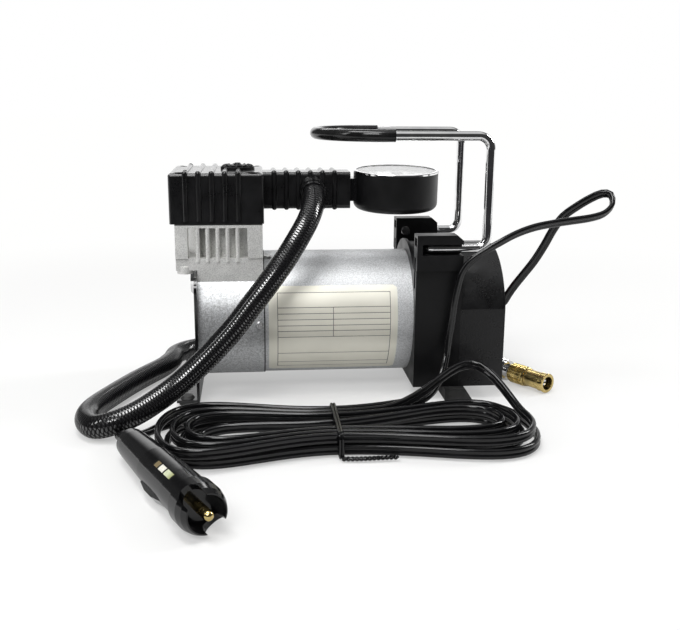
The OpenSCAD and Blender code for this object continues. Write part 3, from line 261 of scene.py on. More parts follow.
def hose_braid():
    """Glossy strands that cross over and under each other round the hose."""
    base, step, ends = colours().braid, sizes().braid_step, sizes().braid_ends
    f = Finish("hose_braid", {"Specular IOR Level": 0.15, "Coat Roughness": 0.13, "Coat IOR": 2.1})
    around, along = f.along_cord()
    one = around * ends + along / step
    other = around * ends - along / step
    over = ((one.floor() + other.floor()) * 0.5).fraction() * 2.0
    crown_one = (one.fraction() * math.pi).sine()
    crown_other = (other.fraction() * math.pi).sine()
    top = over * crown_one * (crown_other * 0.5 + 0.5) + (1.0 - over) * crown_other * (crown_one * 0.5 + 0.5)
    wear = f.noise(9, detail=3)
    # Base colour lighter on the strands' crowns and darker in the grooves between them: painted highlight and painted
    # shade
    f.set("Base Color", f.mix(top.spread(0.25, 0.95), shade(base, 0.2), shade(base, 1.2)))
    f.set("Roughness", (wear * 0.5 + (1.0 - top) * 0.5).spread(0.2, 0.8, 0.25, 0.45))
    f.set("Coat Weight", top.spread(0.45, 0.7) * wear.spread(0.3, 0.6, 0.5, 1.0))
    f.set("Normal", f.bump(top, 0.14))
    return f


def cup_leather():
    """Oiled leather with pebbled pores."""
    f = grained("cup_leather", (0.09, 0.045, 0.02), (0.20, 0.10, 0.05), (0.35, 0.6), 2, 0.4, 0.03)
    pores = f.node("ShaderNodeTexVoronoi", {"feature": "DISTANCE_TO_EDGE"}, {"Vector": f.place(), "Scale": 1400.0})
    f.set("Normal", f.bump(pores.spread(0.0, 0.12), 0.05))
    return f


def clear():
    """Thin clear plastic with a trace of dust."""
    f = Finish("clear", {"Transmission Weight": 1.0, "IOR": 1.45, "Base Color": (0.97, 0.98, 0.98)})
    dust = f.noise(5, detail=4)
    f.set("Roughness", dust.spread(0.4, 0.75, 0.01, 0.07))
    return f


def window():
    """Milky lamp window: a dim, a bright and a greenish stretch, with dark bars between them."""
    f = Finish("window", {"Roughness": 0.18, "Coat Weight": 0.5, "Coat Roughness": 0.05})
    axis = plug_frame().to_3x3() @ Vector((0, 0, 1))
    point = f.node("ShaderNodeTexCoord", output=OBJECT_OUTPUT)
    run = f.node("ShaderNodeVectorMath", {"operation": "DOT_PRODUCT"}, {0: point, 1: axis}, output=1)
    start = plug_frame().translation.dot(axis) + WINDOW_FROM * MM
    share = (run - start) / (WINDOW_LEN * MM)
    cloud = f.noise(1.2, detail=2)
    warm = f.mix(share.spread(0.55, 0.62), f.mix(share.spread(0.24, 0.30), (0.22, 0.17, 0.09), (0.85, 0.83, 0.74)),
                 f.mix(share.spread(0.7, 0.95), (0.68, 0.72, 0.5), (0.4, 0.42, 0.2)))
    bars = share.spread(0.04, 0.08) - share.spread(0.92, 0.96)
    for at in (0.27, 0.58):
        bars = bars * (1.0 - (share.spread(at - 0.045, at - 0.015) - share.spread(at + 0.015, at + 0.045)))
    f.set("Base Color", f.mix(bars * cloud.spread(0.2, 0.6, 0.75, 1.0), (0.02, 0.02, 0.015), warm))
    return f


# Flecked finishes. Name: tone of the settings, darkest and lightest share of it, range of roughness, size of clouds,
# size and depth of grains in mm, metallic, flecks
FLECKED = {
    "silver_paint": ("paint", 0.72, 1.3, (0.42, 0.5), 14, 0.55, 0.03, 0.7, ((0.5, 1, 0.6), (1.3, 2, 0.4))),
    "can_silver": ("paint", 0.9, 1.28, (0.4, 0.48), 16, 0.5, 0.025, 0.5, ((0.6, 2, 1.0),)),
    "cast_aluminium": ("casting", 0.8, 1.12, (0.4, 0.52), 3, 0.6, 0.05, 0.5, ((0.45, 1, 0.75), (7, 2, 0.25))),
}
# Grained finishes. The same up to the depth of grains, then constant sockets and the stretch of the grains
TONED = {
    "black_paint": ("black", 0.7, 1.3, (0.26, 0.4), 9, 1.1, 0.03,
                    {"Specular IOR Level": 0.4, "Coat Weight": 0.6, "Coat Roughness": 0.12}),
    "black_plastic": ("black", 0.8, 1.3, (0.3, 0.44), 12, 0.45, 0.03, {"Specular IOR Level": 0.35}),
    "gloss_black": ("black", 0.6, 1.0, (0.08, 0.17), 16, 3.0, 0.012, {"Specular IOR Level": 0.5}),
    "cover_black": ("black", 0.9, 1.5, (0.25, 0.36), 10, 0.6, 0.13, {"Specular IOR Level": 0.5}),
    "plate_black": ("black", 0.8, 1.3, (0.12, 0.26), 12, 1.6, 0.02, {"Coat Weight": 0.4, "Coat Roughness": 0.1}),
    "cord_jacket": ("jacket", 0.8, 1.4, (0.1, 0.2), 7, 2.2, 0.012, {"Specular IOR Level": 0.5}),
    "brass": ("brass", 0.72, 1.12, (0.14, 0.3), 4, 1.2, 0.012, {"Metallic": 1.0}),
    "rocker_red": ("rocker", 0.8, 1.2, (0.14, 0.26), 6, 2, 0.01),
    "label_foil": ("foil", 0.97, 1.04, (0.36, 0.44), 30, 1.2, 0.006, {"Metallic": 0.45}, (0.05, 1, 1)),
    "label_ink": ("print_ink", 0.8, 1.3, (0.4, 0.55), 3, 0.6, 0.004),
}
# Grained finishes in a fixed tone. Name: darkest and lightest tone, then the same
PLAIN = {
    "rubber": ((0.012, 0.012, 0.012), (0.03, 0.03, 0.029), (0.5, 0.68), 4, 0.6, 0.03),
    "sleeve_vinyl": ((0.006, 0.006, 0.006), (0.014, 0.014, 0.014), (0.08, 0.2), 8, 4, 0.02,
                     {"Specular IOR Level": 0.4}),
    "chrome": ((0.82, 0.82, 0.83), (0.95, 0.95, 0.95), (0.03, 0.11), 6, 2.5, 0.006, {"Metallic": 1.0}),
    "steel": ((0.46, 0.46, 0.47), (0.64, 0.64, 0.63), (0.24, 0.4), 5, 0.8, 0.015, {"Metallic": 1.0}),
    "magnet": ((0.05, 0.05, 0.055), (0.1, 0.1, 0.1), (0.55, 0.75), 3, 0.4, 0.03),
    "copper": ((0.45, 0.17, 0.06), (0.68, 0.33, 0.16), (0.22, 0.4), 2, 0.8, 0.05, {"Metallic": 1.0}, (0.15, 1, 1)),
    "fibre": ((0.22, 0.12, 0.05), (0.40, 0.25, 0.13), (0.5, 0.7), 3, 0.5, 0.03, None, (0.2, 1, 1)),
    "dial_white": ((0.78, 0.78, 0.76), (0.86, 0.86, 0.84), (0.45, 0.6), 12, 0.5, 0.01),
    "dial_ink": ((0.012, 0.012, 0.012), (0.03, 0.03, 0.03), (0.45, 0.6), 4, 0.6, 0.01),
    "dial_red": ((0.45, 0.02, 0.02), (0.6, 0.04, 0.03), (0.45, 0.6), 4, 0.6, 0.01),
    "needle_black": ((0.01, 0.01, 0.01), (0.025, 0.025, 0.025), (0.4, 0.55), 3, 0.6, 0.01),
    "mark_white": ((0.7, 0.7, 0.68), (0.82, 0.82, 0.8), (0.4, 0.55), 2, 0.5, 0.01),
    # The next finish is painted shade: black for the ring that stands in for the shaded gap between drum and can
    "seam_black": ((0.006, 0.006, 0.006), (0.016, 0.016, 0.016), (0.5, 0.7), 3, 0.7, 0.02),
}
DRAWN = {made.__name__: made for made in (hose_braid, cup_leather, clear, window)}
# Solids whose finish differs from their slot's usual one
SPECIAL = {
    "handle_grip": "sleeve_vinyl", "front_plate": "plate_black", "end_cover": "cover_black",
    "rear_housing": "black_plastic", "gauge_case": "black_plastic", "seam_screws": "steel",
    "hose_ferrule": "plate_black", "motor_can": "can_silver", "gauge_neck": "plate_black",
    "plug_tip": "brass",
}


def finish(name):
    """The material of that name, made once."""
    made = bpy.data.materials.get(name + "_finish")
    if made:
        return made
    if name in DRAWN:
        return DRAWN[name]().owner
    if name in PLAIN:
        return grained(name, *PLAIN[name]).owner
    make, table = (flecked, FLECKED) if name in FLECKED else (grained, TONED)
    setting, darkest, lightest, *skin = table[name]
    base = getattr(colours(), setting)
    return make(name, shade(base, darkest), shade(base, lightest), *skin).owner


# ---- meshes


def linked(name, data):
    """An object of the scene."""
    made = bpy.data.objects.new(name, data)
    bpy.context.scene.collection.objects.link(made)
    return made


def new_piece(name, points, faces, finish_names, body="machine", slot=None, maps=None, crease=35, face_finish=None):
    """A piece with its place in its mesh, riding on a body."""
    mesh = bpy.data.meshes.new(name)
    mesh.from_pydata([tuple(p) for p in points], [], faces)
    if maps:
        layer = mesh.uv_layers.new(name="cord")
        layer.data.foreach_set("uv", [number for pair in maps for number in pair])
    piece = finished(name, mesh, finish_names, body, crease)
    if face_finish:
        mesh.polygons.foreach_set("material_index", face_finish)
    return piece


def finished(name, mesh, finish_names, body="machine", crease=35):
    mesh.shade_smooth()
    mesh.set_sharp_from_angle(angle=math.radians(crease))
    piece = linked(name, mesh)
    names = [finish_names] if isinstance(finish_names, str) else finish_names
    mesh.materials.clear()
    for each in names:
        mesh.materials.append(finish(each))
    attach(piece, body)
    return piece


def smooth_route(route, spacing):
    """Points about a spacing apart on the smooth curve through a route, both given in mm."""
    route = [Vector([number * MM for number in p]) for p in route]
    ends = [2 * route[0] - route[1], *route, 2 * route[-1] - route[-2]]
    line = []
    for a, b, c, d in zip(ends, ends[1:], ends[2:], ends[3:]):
        steps = max(1, round((c - b).length / (spacing * MM)))
        for i in range(steps):
            t = i / steps
            line.append(0.5 * (2 * b + (c - a) * t + (2 * a - 5 * b + 4 * c - d) * t**2
                               + (3 * b - a - 3 * c + d) * t**3))
    return [*line, route[-1]]


def directions(line):
    last = len(line) - 1
    return [(line[min(i + 1, last)] - line[max(i - 1, 0)]).normalized() for i in range(last + 1)]


def carried(line, first):
    """Side directions carried along a line without twist."""
    sides, side = [], Vector(first)
    for t in directions(line):
        side = (side - t * side.dot(t)).normalized()
        sides.append(side)
    return sides


def run_length(line):
    return sum((b - a).length for a, b in zip(line, line[1:]))


def swept(line, sides, section):
    """Points, faces and maps of a closed skin along a line; the section's first axis lies along sides."""
    count, points, faces, maps, far = len(section), [], [], [], [0.0]
    for a, b in zip(line, line[1:]):
        far.append(far[-1] + (b - a).length)
    for p, t, s in zip(line, directions(line), sides):
        up = t.cross(s)
        points += [p + s * x + up * y for x, y in section]
    for i in range(len(line) - 1):
        for k in range(count):
            j = (k + 1) % count
            faces.append((i * count + k, i * count + j, (i + 1) * count + j, (i + 1) * count + k))
            maps += [(k / count, far[i]), ((k + 1) / count, far[i]),
                     ((k + 1) / count, far[i + 1]), (k / count, far[i + 1])]
    last = (len(line) - 1) * count
    faces += [tuple(reversed(range(count))), tuple(range(last, last + count))]
    maps += [(0.5, 0.0)] * count + [(0.5, far[-1])] * count
    return points, faces, maps


def polar(radius, degrees):
    """The place on a circle at an angle."""
    a = math.radians(degrees)
    return radius * math.cos(a), radius * math.sin(a)


def circle(radius, count):
    return [polar(radius, 360 * k / count) for k in range(count)]


def turned(profile, count, place=Matrix()):
    """Points and faces of a closed profile of (radius, height) pairs in mm, turned round a frame's own Z."""
    points, faces, size = [], [], len(profile)
    for k in range(count):
        points += [place @ (Vector((*polar(r, 360 * k / count), z)) * MM) for r, z in profile]
        for i in range(size):
            j, m = (i + 1) % size, (k + 1) % count
            faces.append((k * size + i, m * size + i, m * size + j, k * size + j))
    return points, faces


def bead(radius, at, wide, bulge, place):
    """A rounded ring, in mm, at a height on a frame's Z."""
    around = [math.radians(45 * k) for k in range(8)]
    return turned([(radius + wide * bulge * math.cos(a), at + wide * math.sin(a)) for a in around], 48, place)


def joined(*parts):
    points, faces = [], []
    for more_points, more_faces in parts:
        start = len(points)
        points += more_points
        faces += [tuple(start + v for v in face) for face in more_faces]
    return points, faces


def turn(degrees, axis):
    return Matrix.Rotation(math.radians(degrees), 4, axis)


# ---- places shared with the solids

# In mm and degrees
AXIS_Z = 43.7
SEAM_X = -41.75
CAN_R = 35.0
DRUM_R = 35.5
CHUCK_AT = (105.3, -10.7, 6.2)
CHUCK_YAW = -59
CHUCK_LEN = 27.0
CHUCK_R = 5.4
PLUG_AT = (-105.4, -109.2, 7.85)
PLUG_YAW, PLUG_PITCH = -65, 88.1
PLUG_LEN = 66.0
# Along the plug, from its frame's origin
WINDOW_FROM = 49.0
WINDOW_LEN = 21.0
GAUGE_AT = (34.45, 0, 124.4)
GAUGE_LEAN = 3
DIAL_DEPTH = 4.68
HEAD_CAP_AT = (-54.85, 0, 125.0)
# The rocker's stubs, its turn at rest, and its face, which rises along each arm
ROCKER_AT = (87.25, 0, 63.7)
ROCKER_REST_TURN = 8
ROCKER_FACE, ROCKER_ARM, ROCKER_RISE = 1.6, 7, 1.2
MARK_AT = 4.1


def moved(x, y, z):
    """A shift given in mm."""
    return Matrix.Translation(Vector((x, y, z)) * MM)


def chuck_frame():
    """+Z comes out of the chuck's mouth."""
    return moved(*CHUCK_AT) @ turn(CHUCK_YAW, "Z") @ turn(90, "Y")


def plug_frame():
    """+Z comes out of the plug's nose."""
    return moved(*PLUG_AT) @ turn(PLUG_YAW, "Z") @ turn(PLUG_PITCH, "Y")


def gauge_frame():
    """+Z comes out of the gauge's face."""
    return moved(*GAUGE_AT) @ turn(GAUGE_LEAN, "X")


class Step:
    """A step of the build, run as an operator."""

    def execute(self, context):
        self.make(context.scene)
        return {"FINISHED"}


# ---- stage

EYE_PLACE = (-0.047318, -0.508464, 0.165394)
# Radians to the right, down and about the line of sight
EYE_TURNS = (0.098833, 0.240231, 0.006602)
SENSOR_MM = 36.0
# Focal length over the width of the view
LENS_PER_WIDTH = 896.605 / 680
FLOOR_HALF = 6.0
LAMPS_AIM = (0, -0.02, 0.06)
# Name, place, width, depth and watts
LAMPS = (
    ("top", (-0.2, -0.2, 0.92), 0.6, 0.3, 4.6),
    ("front", (-0.38, -1.1, 1.0), 0.55, 0.4, 7.5),
    ("left", (-0.80, -0.35, 0.60), 0.14, 0.5, 1.1),
    ("right", (0.85, 0.15, 0.62), 0.16, 0.5, 3.6),
    ("back", (-0.1, 0.85, 0.75), 0.6, 0.12, 1.2),
)


class INFLATOR_OT_stage(Step, Operator):
    """Camera, pale floor and soft studio lamps"""

    bl_idname = "inflator.stage"
    bl_label = "Stage"

    def make(self, scene):
        scene.view_settings.view_transform = "Standard"
        self.camera(scene)
        self.floor()
        self.lamps()
        self.world(scene)

    def camera(self, scene):
        yaw, pitch, roll = EYE_TURNS
        ahead = Vector((math.sin(yaw) * math.cos(pitch), math.cos(yaw) * math.cos(pitch), -math.sin(pitch)))
        level = Vector((math.cos(yaw), -math.sin(yaw), 0))
        up = level.cross(ahead)
        right = level * math.cos(roll) + up * math.sin(roll)
        upright = up * math.cos(roll) - level * math.sin(roll)
        data = bpy.data.cameras.new("camera")
        data.sensor_width, data.lens = SENSOR_MM, SENSOR_MM * LENS_PER_WIDTH
        eye = linked("camera", data)
        eye.matrix_world = Matrix.Translation(EYE_PLACE) @ Matrix((right, upright, -ahead)).transposed().to_4x4()
        scene.camera = eye

    def floor(self):
        mesh = bpy.data.meshes.new("floor")
        mesh.from_pydata([(x * FLOOR_HALF, y * FLOOR_HALF, 0) for x, y in ((-1, -1), (1, -1), (1, 1), (-1, 1))],
                         [], [(0, 1, 2, 3)])
        floor = linked("floor", mesh)
        paper = Shading(bpy.data.materials.new("paper"))
        tree = paper.tree
        tree.nodes.clear()
        # For bounced and reflected rays the floor is a darker grey than the camera sees: painted shade in the light it
        # throws back and in reflections
        tone_now = paper.mix(paper.ray("Diffuse", "Glossy"), (0.78, 0.78, 0.775), (0.48, 0.48, 0.48))
        lit = paper.node("ShaderNodeBsdfDiffuse", {}, {"Color": tone_now})
        point = paper.node("ShaderNodeTexCoord", output=OBJECT_OUTPUT)
        # Where reflections see the floor in front of the object it is nearly black: a painted dark reflection
        dark_reflection_share = paper.split(point)[1].spread(-0.36, -0.27, 1.0, 0.0) * paper.ray("Glossy")
        shown = paper.mix(dark_reflection_share, (1.0, 1.0, 0.995), (0.03, 0.03, 0.032))
        plain = paper.node("ShaderNodeEmission", {}, {"Color": shown, "Strength": 1.0})
        far = paper.node("ShaderNodeVectorMath", {"operation": "LENGTH"}, {0: point}, output=1)
        share = (paper.ray("Camera", "Transmission") * far.spread(0.2, 0.6, 0.4, 1.0)).at_least(
            paper.ray("Glossy") * far.spread(0.16, 0.5, 0.12, 1.0))
        both = paper.node("ShaderNodeMixShader", {}, {0: share, 1: lit, 2: plain})
        out = tree.nodes.new("ShaderNodeOutputMaterial")
        tree.links.new(both.socket, out.inputs["Surface"])
        mesh.materials.append(paper.owner)

    def lamps(self):
        for name, place, wide, deep, watts in LAMPS:
            data = bpy.data.lights.new(name, "AREA")
            data.shape, data.size, data.size_y, data.energy = "RECTANGLE", wide, deep, watts
            lamp = linked(name, data)
            lamp.location = place
            lamp.rotation_euler = (Vector(LAMPS_AIM) - Vector(place)).to_track_quat("-Z", "Y").to_euler()

    def world(self, scene):
        """White behind the object for the camera; for reflections a room with a pale back wall and a soft ceiling."""
        scene.world = bpy.data.worlds.new("studio")
        air = Shading(scene.world)
        aside, back, up = air.split(air.node("ShaderNodeTexCoord", output=GENERATED_OUTPUT))
        wall = back.spread(0.1, 0.6) * up.spread(0.25, 0.4, 1.2, 0.2)
        wall = wall * aside.spread(-0.45, -0.25, 0.06, 1.0) * aside.spread(0.3, 0.5, 1.0, 0.5)
        ceiling = up.spread(0.7, 0.95, 0.0, 0.6)
        room = wall.at_least(ceiling) + 0.04
        seen = air.ray("Camera", "Transmission")
        glossy = air.ray("Glossy") * (1.0 - seen)
        level = seen + glossy * room + (1.0 - seen) * (1.0 - glossy) * 0.42
        air.plug(level, air.tree.nodes["Background"].inputs["Strength"])
        air.tree.nodes["Background"].inputs["Color"].default_value = (1, 1, 1, 1)


# ---- hose and cord

# Routes in mm
HOSE_ROUTE = (
    (-13.45, -12.9, 113.6), (-13.45, -18.4, 111.3), (-14.5, -26, 107), (-18.2, -35, 100), (-24.3, -43, 91),
    (-30, -48, 83), (-35.5, -52, 76), (-42, -55.5, 68), (-49.5, -58.5, 59), (-59, -62, 47.5), (-72, -66, 34.5),
    (-85.5, -71, 23.2), (-97, -77, 16.2), (-107, -83, 11.8), (-117, -86.5, 8.8), (-125.5, -84.5, 6.7),
    (-131, -75.5, 6.2), (-132.3, -63.5, 6.2), (-129.7, -50.5, 6.2), (-124, -34.5, 6.2), (-116.5, -15.5, 6.2),
    (-108.8, 1, 6.2), (-102, 15, 6.2), (-98, 29, 6.2), (-96.4, 41.5, 6.2), (-91, 51, 6.2), (-81, 58, 6.2),
    (-66, 62.5, 6.2), (-46, 64.3, 6.2), (-18, 64.5, 6.2), (12, 64, 6.2), (42, 62.5, 6.2), (66, 59.5, 6.2),
    (84, 53.5, 6.2), (95, 45.5, 6.2), (101, 35, 6.2), (102, 24, 6.2), (100, 13, 6.2), (98.1, 6.3, 6.2),
    (97.38, 2.47, 6.2), (99.1, -0.4, 6.2),
)
LEAD_ROUTE = (
    (98, 4, 43.7), (100, 4, 43.8), (102.4, 3.8, 46.2), (104.5, 3.2, 50.5), (108, 2, 56.5), (112.7, 0.5, 63.5),
    (118, -1, 71.5), (123, -2.5, 81), (127, -4, 90), (132, -5.5, 98), (139, -7.5, 104), (146, -10, 109),
    (151.5, -13, 112), (155, -17, 111.5), (154.5, -21, 106.5), (149, -24, 102), (140, -27, 100), (129, -30, 99),
    (117, -33.5, 98), (105, -37.5, 96.5), (94, -41, 93.5), (85, -43.4, 89.5), (76, -43.8, 84.5), (69, -43.8, 79.5),
    (64.5, -43.8, 73), (62.5, -43.8, 65), (61, -43.8, 56), (60, -43.8, 46), (58.5, -44.2, 36), (57, -46, 27),
    (54, -51, 19), (49.5, -57, 14), (44.5, -62.8, 11.2), (37.9, -67.7, 9.8), (31.5, -70.14, 9.7),
)
TAIL_ROUTE = (
    (-83.3, -69.54, 3.7), (-87.7, -71.5, 3.6), (-94.2, -76, 2.8), (-100, -80.8, 1.9), (-105, -85, 1.6),
    (-109, -89, 1.8), (-111.6, -92.3, 3.2), (-112.1, -95.2, 5.6), (-110.9, -97.4, 7.42), (-109.2, -101.05, 7.55),
)
# The tie round the hank's waist, in mm: half its width, its lowest and highest, its corners and its pitch
TIE_HALF, TIE_LOW, TIE_HIGH, TIE_CORNER, TIE_PITCH = 22.6, 0.75, 13.3, 3.0, 1.3
# Its twisted ends: turns, radius, length, drift away from the hank, rise, wander, and points
TWIST_TURNS, TWIST_R, TWIST_LEN, TWIST_DRIFT, TWIST_RISE, TWIST_WANDER, TWIST_STEPS = 6.5, 0.62, 26, 1.6, 0.5, 0.45, 104
# Length over which the tail's cord twists a quarter turn
TAIL_TWIST = 26
# The hank, in mm and degrees along its loops. HANK_SWELL: how far the lobes open in y behind, in front on the left
# and in front on the right of the waist
HANK_FROM, HANK_TO, HANK_STEP = 70, 2310, 4
HANK_CENTRE = (-1, -99)
HANK_HALF_LEN, HANK_WAIST_X, HANK_WAIST_HALF = 95, 7, 20
HANK_SWELL = (62, 74, 44)
# What each turn lies further in: of the length and the lobes, and of the waist
HANK_INSET, HANK_WAIST_INSET = 7, 4.4
HANK_TOP_Z, HANK_LAYER_DROP, HANK_DROP_TURNS = 9.7, 6, 0.3
# The second turn's hump over the incoming lead: where it begins, is highest and ends; its height and its push back
HUMP_FROM, HUMP_TOP, HUMP_TO = 365, 399, 440
HUMP_HEIGHT, HUMP_BACK = 16, 10


def hank_point(angle):
    """A point of the hank, counted in degrees along its loops."""
    cos, sin = math.cos(math.radians(angle)), math.sin(math.radians(angle))
    turns, all_turns = (angle - HANK_FROM) / 360, (HANK_TO - HANK_FROM) / 360
    inset = min(turns, all_turns - turns)
    drop = max(0, min(1, (turns - all_turns / 2 + HANK_DROP_TURNS / 2) / HANK_DROP_TURNS))
    x = (HANK_HALF_LEN - HANK_INSET * inset) * cos
    from_waist = (x + HANK_WAIST_X) / HANK_HALF_LEN
    behind, front_left, front_right = HANK_SWELL
    swell = behind if sin > 0 else front_left if from_waist < 0 else front_right
    y = sin * (HANK_WAIST_HALF - HANK_WAIST_INSET * inset + (swell - HANK_INSET * inset) * from_waist**2)
    lift = 0
    if HUMP_FROM < angle < HUMP_TOP:
        lift = math.sin(math.pi / 2 * (angle - HUMP_FROM) / (HUMP_TOP - HUMP_FROM)) ** 2
    elif HUMP_TOP <= angle < HUMP_TO:
        lift = math.cos(math.pi / 2 * (angle - HUMP_TOP) / (HUMP_TO - HUMP_TOP)) ** 2
    return Vector((x + HANK_CENTRE[0], y + HANK_CENTRE[1] + HUMP_BACK * lift**2,
                   HANK_TOP_Z - HANK_LAYER_DROP * drop + HUMP_HEIGHT * lift)) * MM


class INFLATOR_OT_hose(Step, Operator):
    """Braided hose from the arm round the back to the chuck"""

    bl_idname = "inflator.hose"
    bl_label = "Hose"

    def make(self, scene):
        line = smooth_route(HOSE_ROUTE, 2)
        points, faces, maps = swept(line, carried(line, (1, 0, 0)), circle(sizes().hose_width / 2, 32))
        hose = new_piece("braided_hose", points, faces, "hose_braid", maps=maps)
        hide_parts("hose")
        round(run_length(line), 2)


class INFLATOR_OT_power_cord(Step, Operator):
    """Flat twin cord: the free lead, the tied hank and the tail to the plug"""

    bl_idname = "inflator.power_cord"
    bl_label = "Power cord"

    def section(self):
        """Two round cores side by side, joined by a web."""
        r = sizes().cord_thickness / 2
        out = sizes().cord_width / 2 - r
        right = [(out + x, y) for x, y in (polar(r, a) for a in range(-120, 121, 30))]
        left = [(-x, -y) for x, y in right]
        return [*right, (0, r * 0.66), *left, (0, -r * 0.66)]

    def make(self, scene):
        lead = smooth_route(LEAD_ROUTE, 3)
        hank = [hank_point(angle) for angle in range(HANK_FROM, HANK_TO + 1, HANK_STEP)]
        tail = smooth_route(TAIL_ROUTE, 2)
        line = lead[:-1] + hank + tail[1:]
        upright = Vector((0, 0, 1))
        sides = [t.cross(upright).normalized().cross(t) for t in directions(line)]
        back = carried(list(reversed(line[:len(lead)])), upright)
        sides[:len(lead)] = list(reversed(back))
        # The tail turns from standing on edge to lying flat
        start, gone = len(lead) + len(hank) - 2, 0.0
        for i in range(start, len(line)):
            gone += (line[i] - line[i - 1]).length
            t = directions(line[i - 1:i + 2])[1] if i + 1 < len(line) else (line[i] - line[i - 1]).normalized()
            flat = t.cross(upright).normalized()
            share = min(1.0, gone / (TAIL_TWIST * MM))
            angle = math.pi / 2 * share * share * (3 - 2 * share)
            sides[i] = flat.cross(t) * math.cos(angle) + flat * math.sin(angle)
        points, faces, maps = swept(line, sides, self.section())
        cord = new_piece("twin_cord", points, faces, "cord_jacket", maps=maps)
        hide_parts("power_lead", "cord_hank", "plug_tail")
        round(run_length(line), 2)


class INFLATOR_OT_wire_tie(Step, Operator):
    """Thin wire round the hank's waist, with its ends twisted together"""

    bl_idname = "inflator.wire_tie"
    bl_label = "Wire tie"

    def make(self, scene):
        r = sizes().tie_wire / 2
        x, y = HANK_CENTRE[0] - HANK_WAIST_X, HANK_CENTRE[1]
        loop = []
        for side_y, side_z, start in ((1, 1, 0), (-1, 1, 90), (-1, -1, 180), (1, -1, 270)):
            cy = y + side_y * (TIE_HALF - TIE_CORNER)
            cz = (TIE_HIGH if side_z > 0 else TIE_LOW) - side_z * TIE_CORNER
            corner = [polar(TIE_CORNER, a) for a in range(start, start + 91, 15)]
            loop += [Vector((x, cy + beside, cz + above)) for beside, above in corner]
        wound = smooth_route([p + Vector((TIE_PITCH * (winding + i / len(loop)) - 1.0, 0, 0))
                              for winding in (0, 1) for i, p in enumerate(loop)], 1.5)
        parts = [swept(wound, carried(wound, (1, 0, 0)), circle(r, 10))[:2]]
        for phase in (0, math.pi):
            twist = []
            for i in range(TWIST_STEPS + 1):
                s = i / TWIST_STEPS
                a = phase + s * 2 * math.pi * TWIST_TURNS
                away = 1.0 + TWIST_DRIFT * s + TWIST_WANDER * math.sin(s * 5.0) - TWIST_R * math.cos(a)
                twist.append(Vector((x + 0.5 + TWIST_LEN * s, y - TIE_HALF - away,
                                     1.65 + TWIST_R * math.sin(a) + TWIST_RISE * s)) * MM)
            parts.append(swept(twist, carried(twist, (0, 0, 1)), circle(r * 0.86, 8))[:2])
        tie = new_piece("wire_tie", *joined(*parts), "cord_jacket")
        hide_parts("hank_tie")


# ---- repeated small forms


class Forms(Shading):
    """A geometry node tree."""

    def __init__(self, name):
        self.tree = bpy.data.node_groups.new(name, "GeometryNodeTree")
        self.tree.interface.new_socket("Geometry", in_out="OUTPUT", socket_type="NodeSocketGeometry")

    def take(self, inputs):
        """Adds inputs, each given by its value, low and high, and returns them by name."""
        for title, limits in inputs.items():
            kind = "NodeSocketInt" if isinstance(limits[0], int) else "NodeSocketFloat"
            socket = self.tree.interface.new_socket(title, in_out="INPUT", socket_type=kind)
            socket.default_value, socket.min_value, socket.max_value = limits
        given = self.tree.nodes.new("NodeGroupInput").outputs
        return {title: Value(self, given[title]) for title in inputs}

    def strew(self, places, form, axis, outward, finish_name):
        """Puts a form on places with its axis outwards, makes it real and gives it its finish."""
        spin = self.node("FunctionNodeAlignRotationToVector", {"axis": axis}, {"Vector": outward})
        placed = self.node("GeometryNodeInstanceOnPoints", {}, {"Points": places, "Instance": form, "Rotation": spin})
        real = self.node("GeometryNodeRealizeInstances", {}, {"Geometry": placed})
        dressed = self.node("GeometryNodeSetMaterial", {}, {"Geometry": real, "Material": finish(finish_name)})
        self.plug(dressed, self.tree.nodes.new("NodeGroupOutput").inputs[0])


def repeated(name, inputs, build):
    """What a tree of forms makes, as a plain mesh."""
    forms = Forms(name)
    build(forms, forms.take(inputs))
    holder = linked(name + "_maker", bpy.data.meshes.new(name))
    maker = holder.modifiers.new(name, "NODES")
    maker.node_group = forms.tree
    for item in forms.tree.interface.items_tree:
        if item.in_out == "INPUT":
            maker[item.identifier] = inputs[item.name][0]
    mesh = plain_mesh(holder)
    if not mesh.polygons:
        raise RuntimeError(f"{name} made no faces")
    return mesh


def plain_mesh(holder):
    """The mesh an object shows; the object goes."""
    seen = holder.evaluated_get(bpy.context.evaluated_depsgraph_get())
    mesh = bpy.data.meshes.new_from_object(seen)
    bpy.data.objects.remove(holder)
    return mesh


def knurl(count, rows, radius, long, tooth, height, finish_name):
    """Rows of small diamond teeth round a barrel along Z."""

    def build(forms, given):
        barrel = forms.node("GeometryNodeMeshCylinder", {"fill_type": "NONE"},
                            {"Vertices": given["Teeth"], "Side Segments": given["Rows"], "Radius": given["Radius"],
                             "Depth": given["Length"]})
        form = forms.node("GeometryNodeMeshCone", {"fill_type": "NGON"},
                          {"Vertices": 4, "Radius Top": given["Tooth"] * 0.12, "Radius Bottom": given["Tooth"] * 0.5,
                           "Depth": given["Height"]})
        outward = forms.node("ShaderNodeVectorMath", {"operation": "MULTIPLY"},
                             {0: forms.node("GeometryNodeInputPosition"), 1: (1, 1, 0)})
        forms.strew(barrel, form, "Z", outward, finish_name)

    return repeated("knurl", {
        "Teeth": (count, 8, 90), "Rows": (rows, 2, 40), "Radius": (radius, 0.001, 0.05),
        "Length": (long, 0.001, 0.05), "Tooth": (tooth, 0.0001, 0.004), "Height": (height, 0.0001, 0.002),
    }, build)


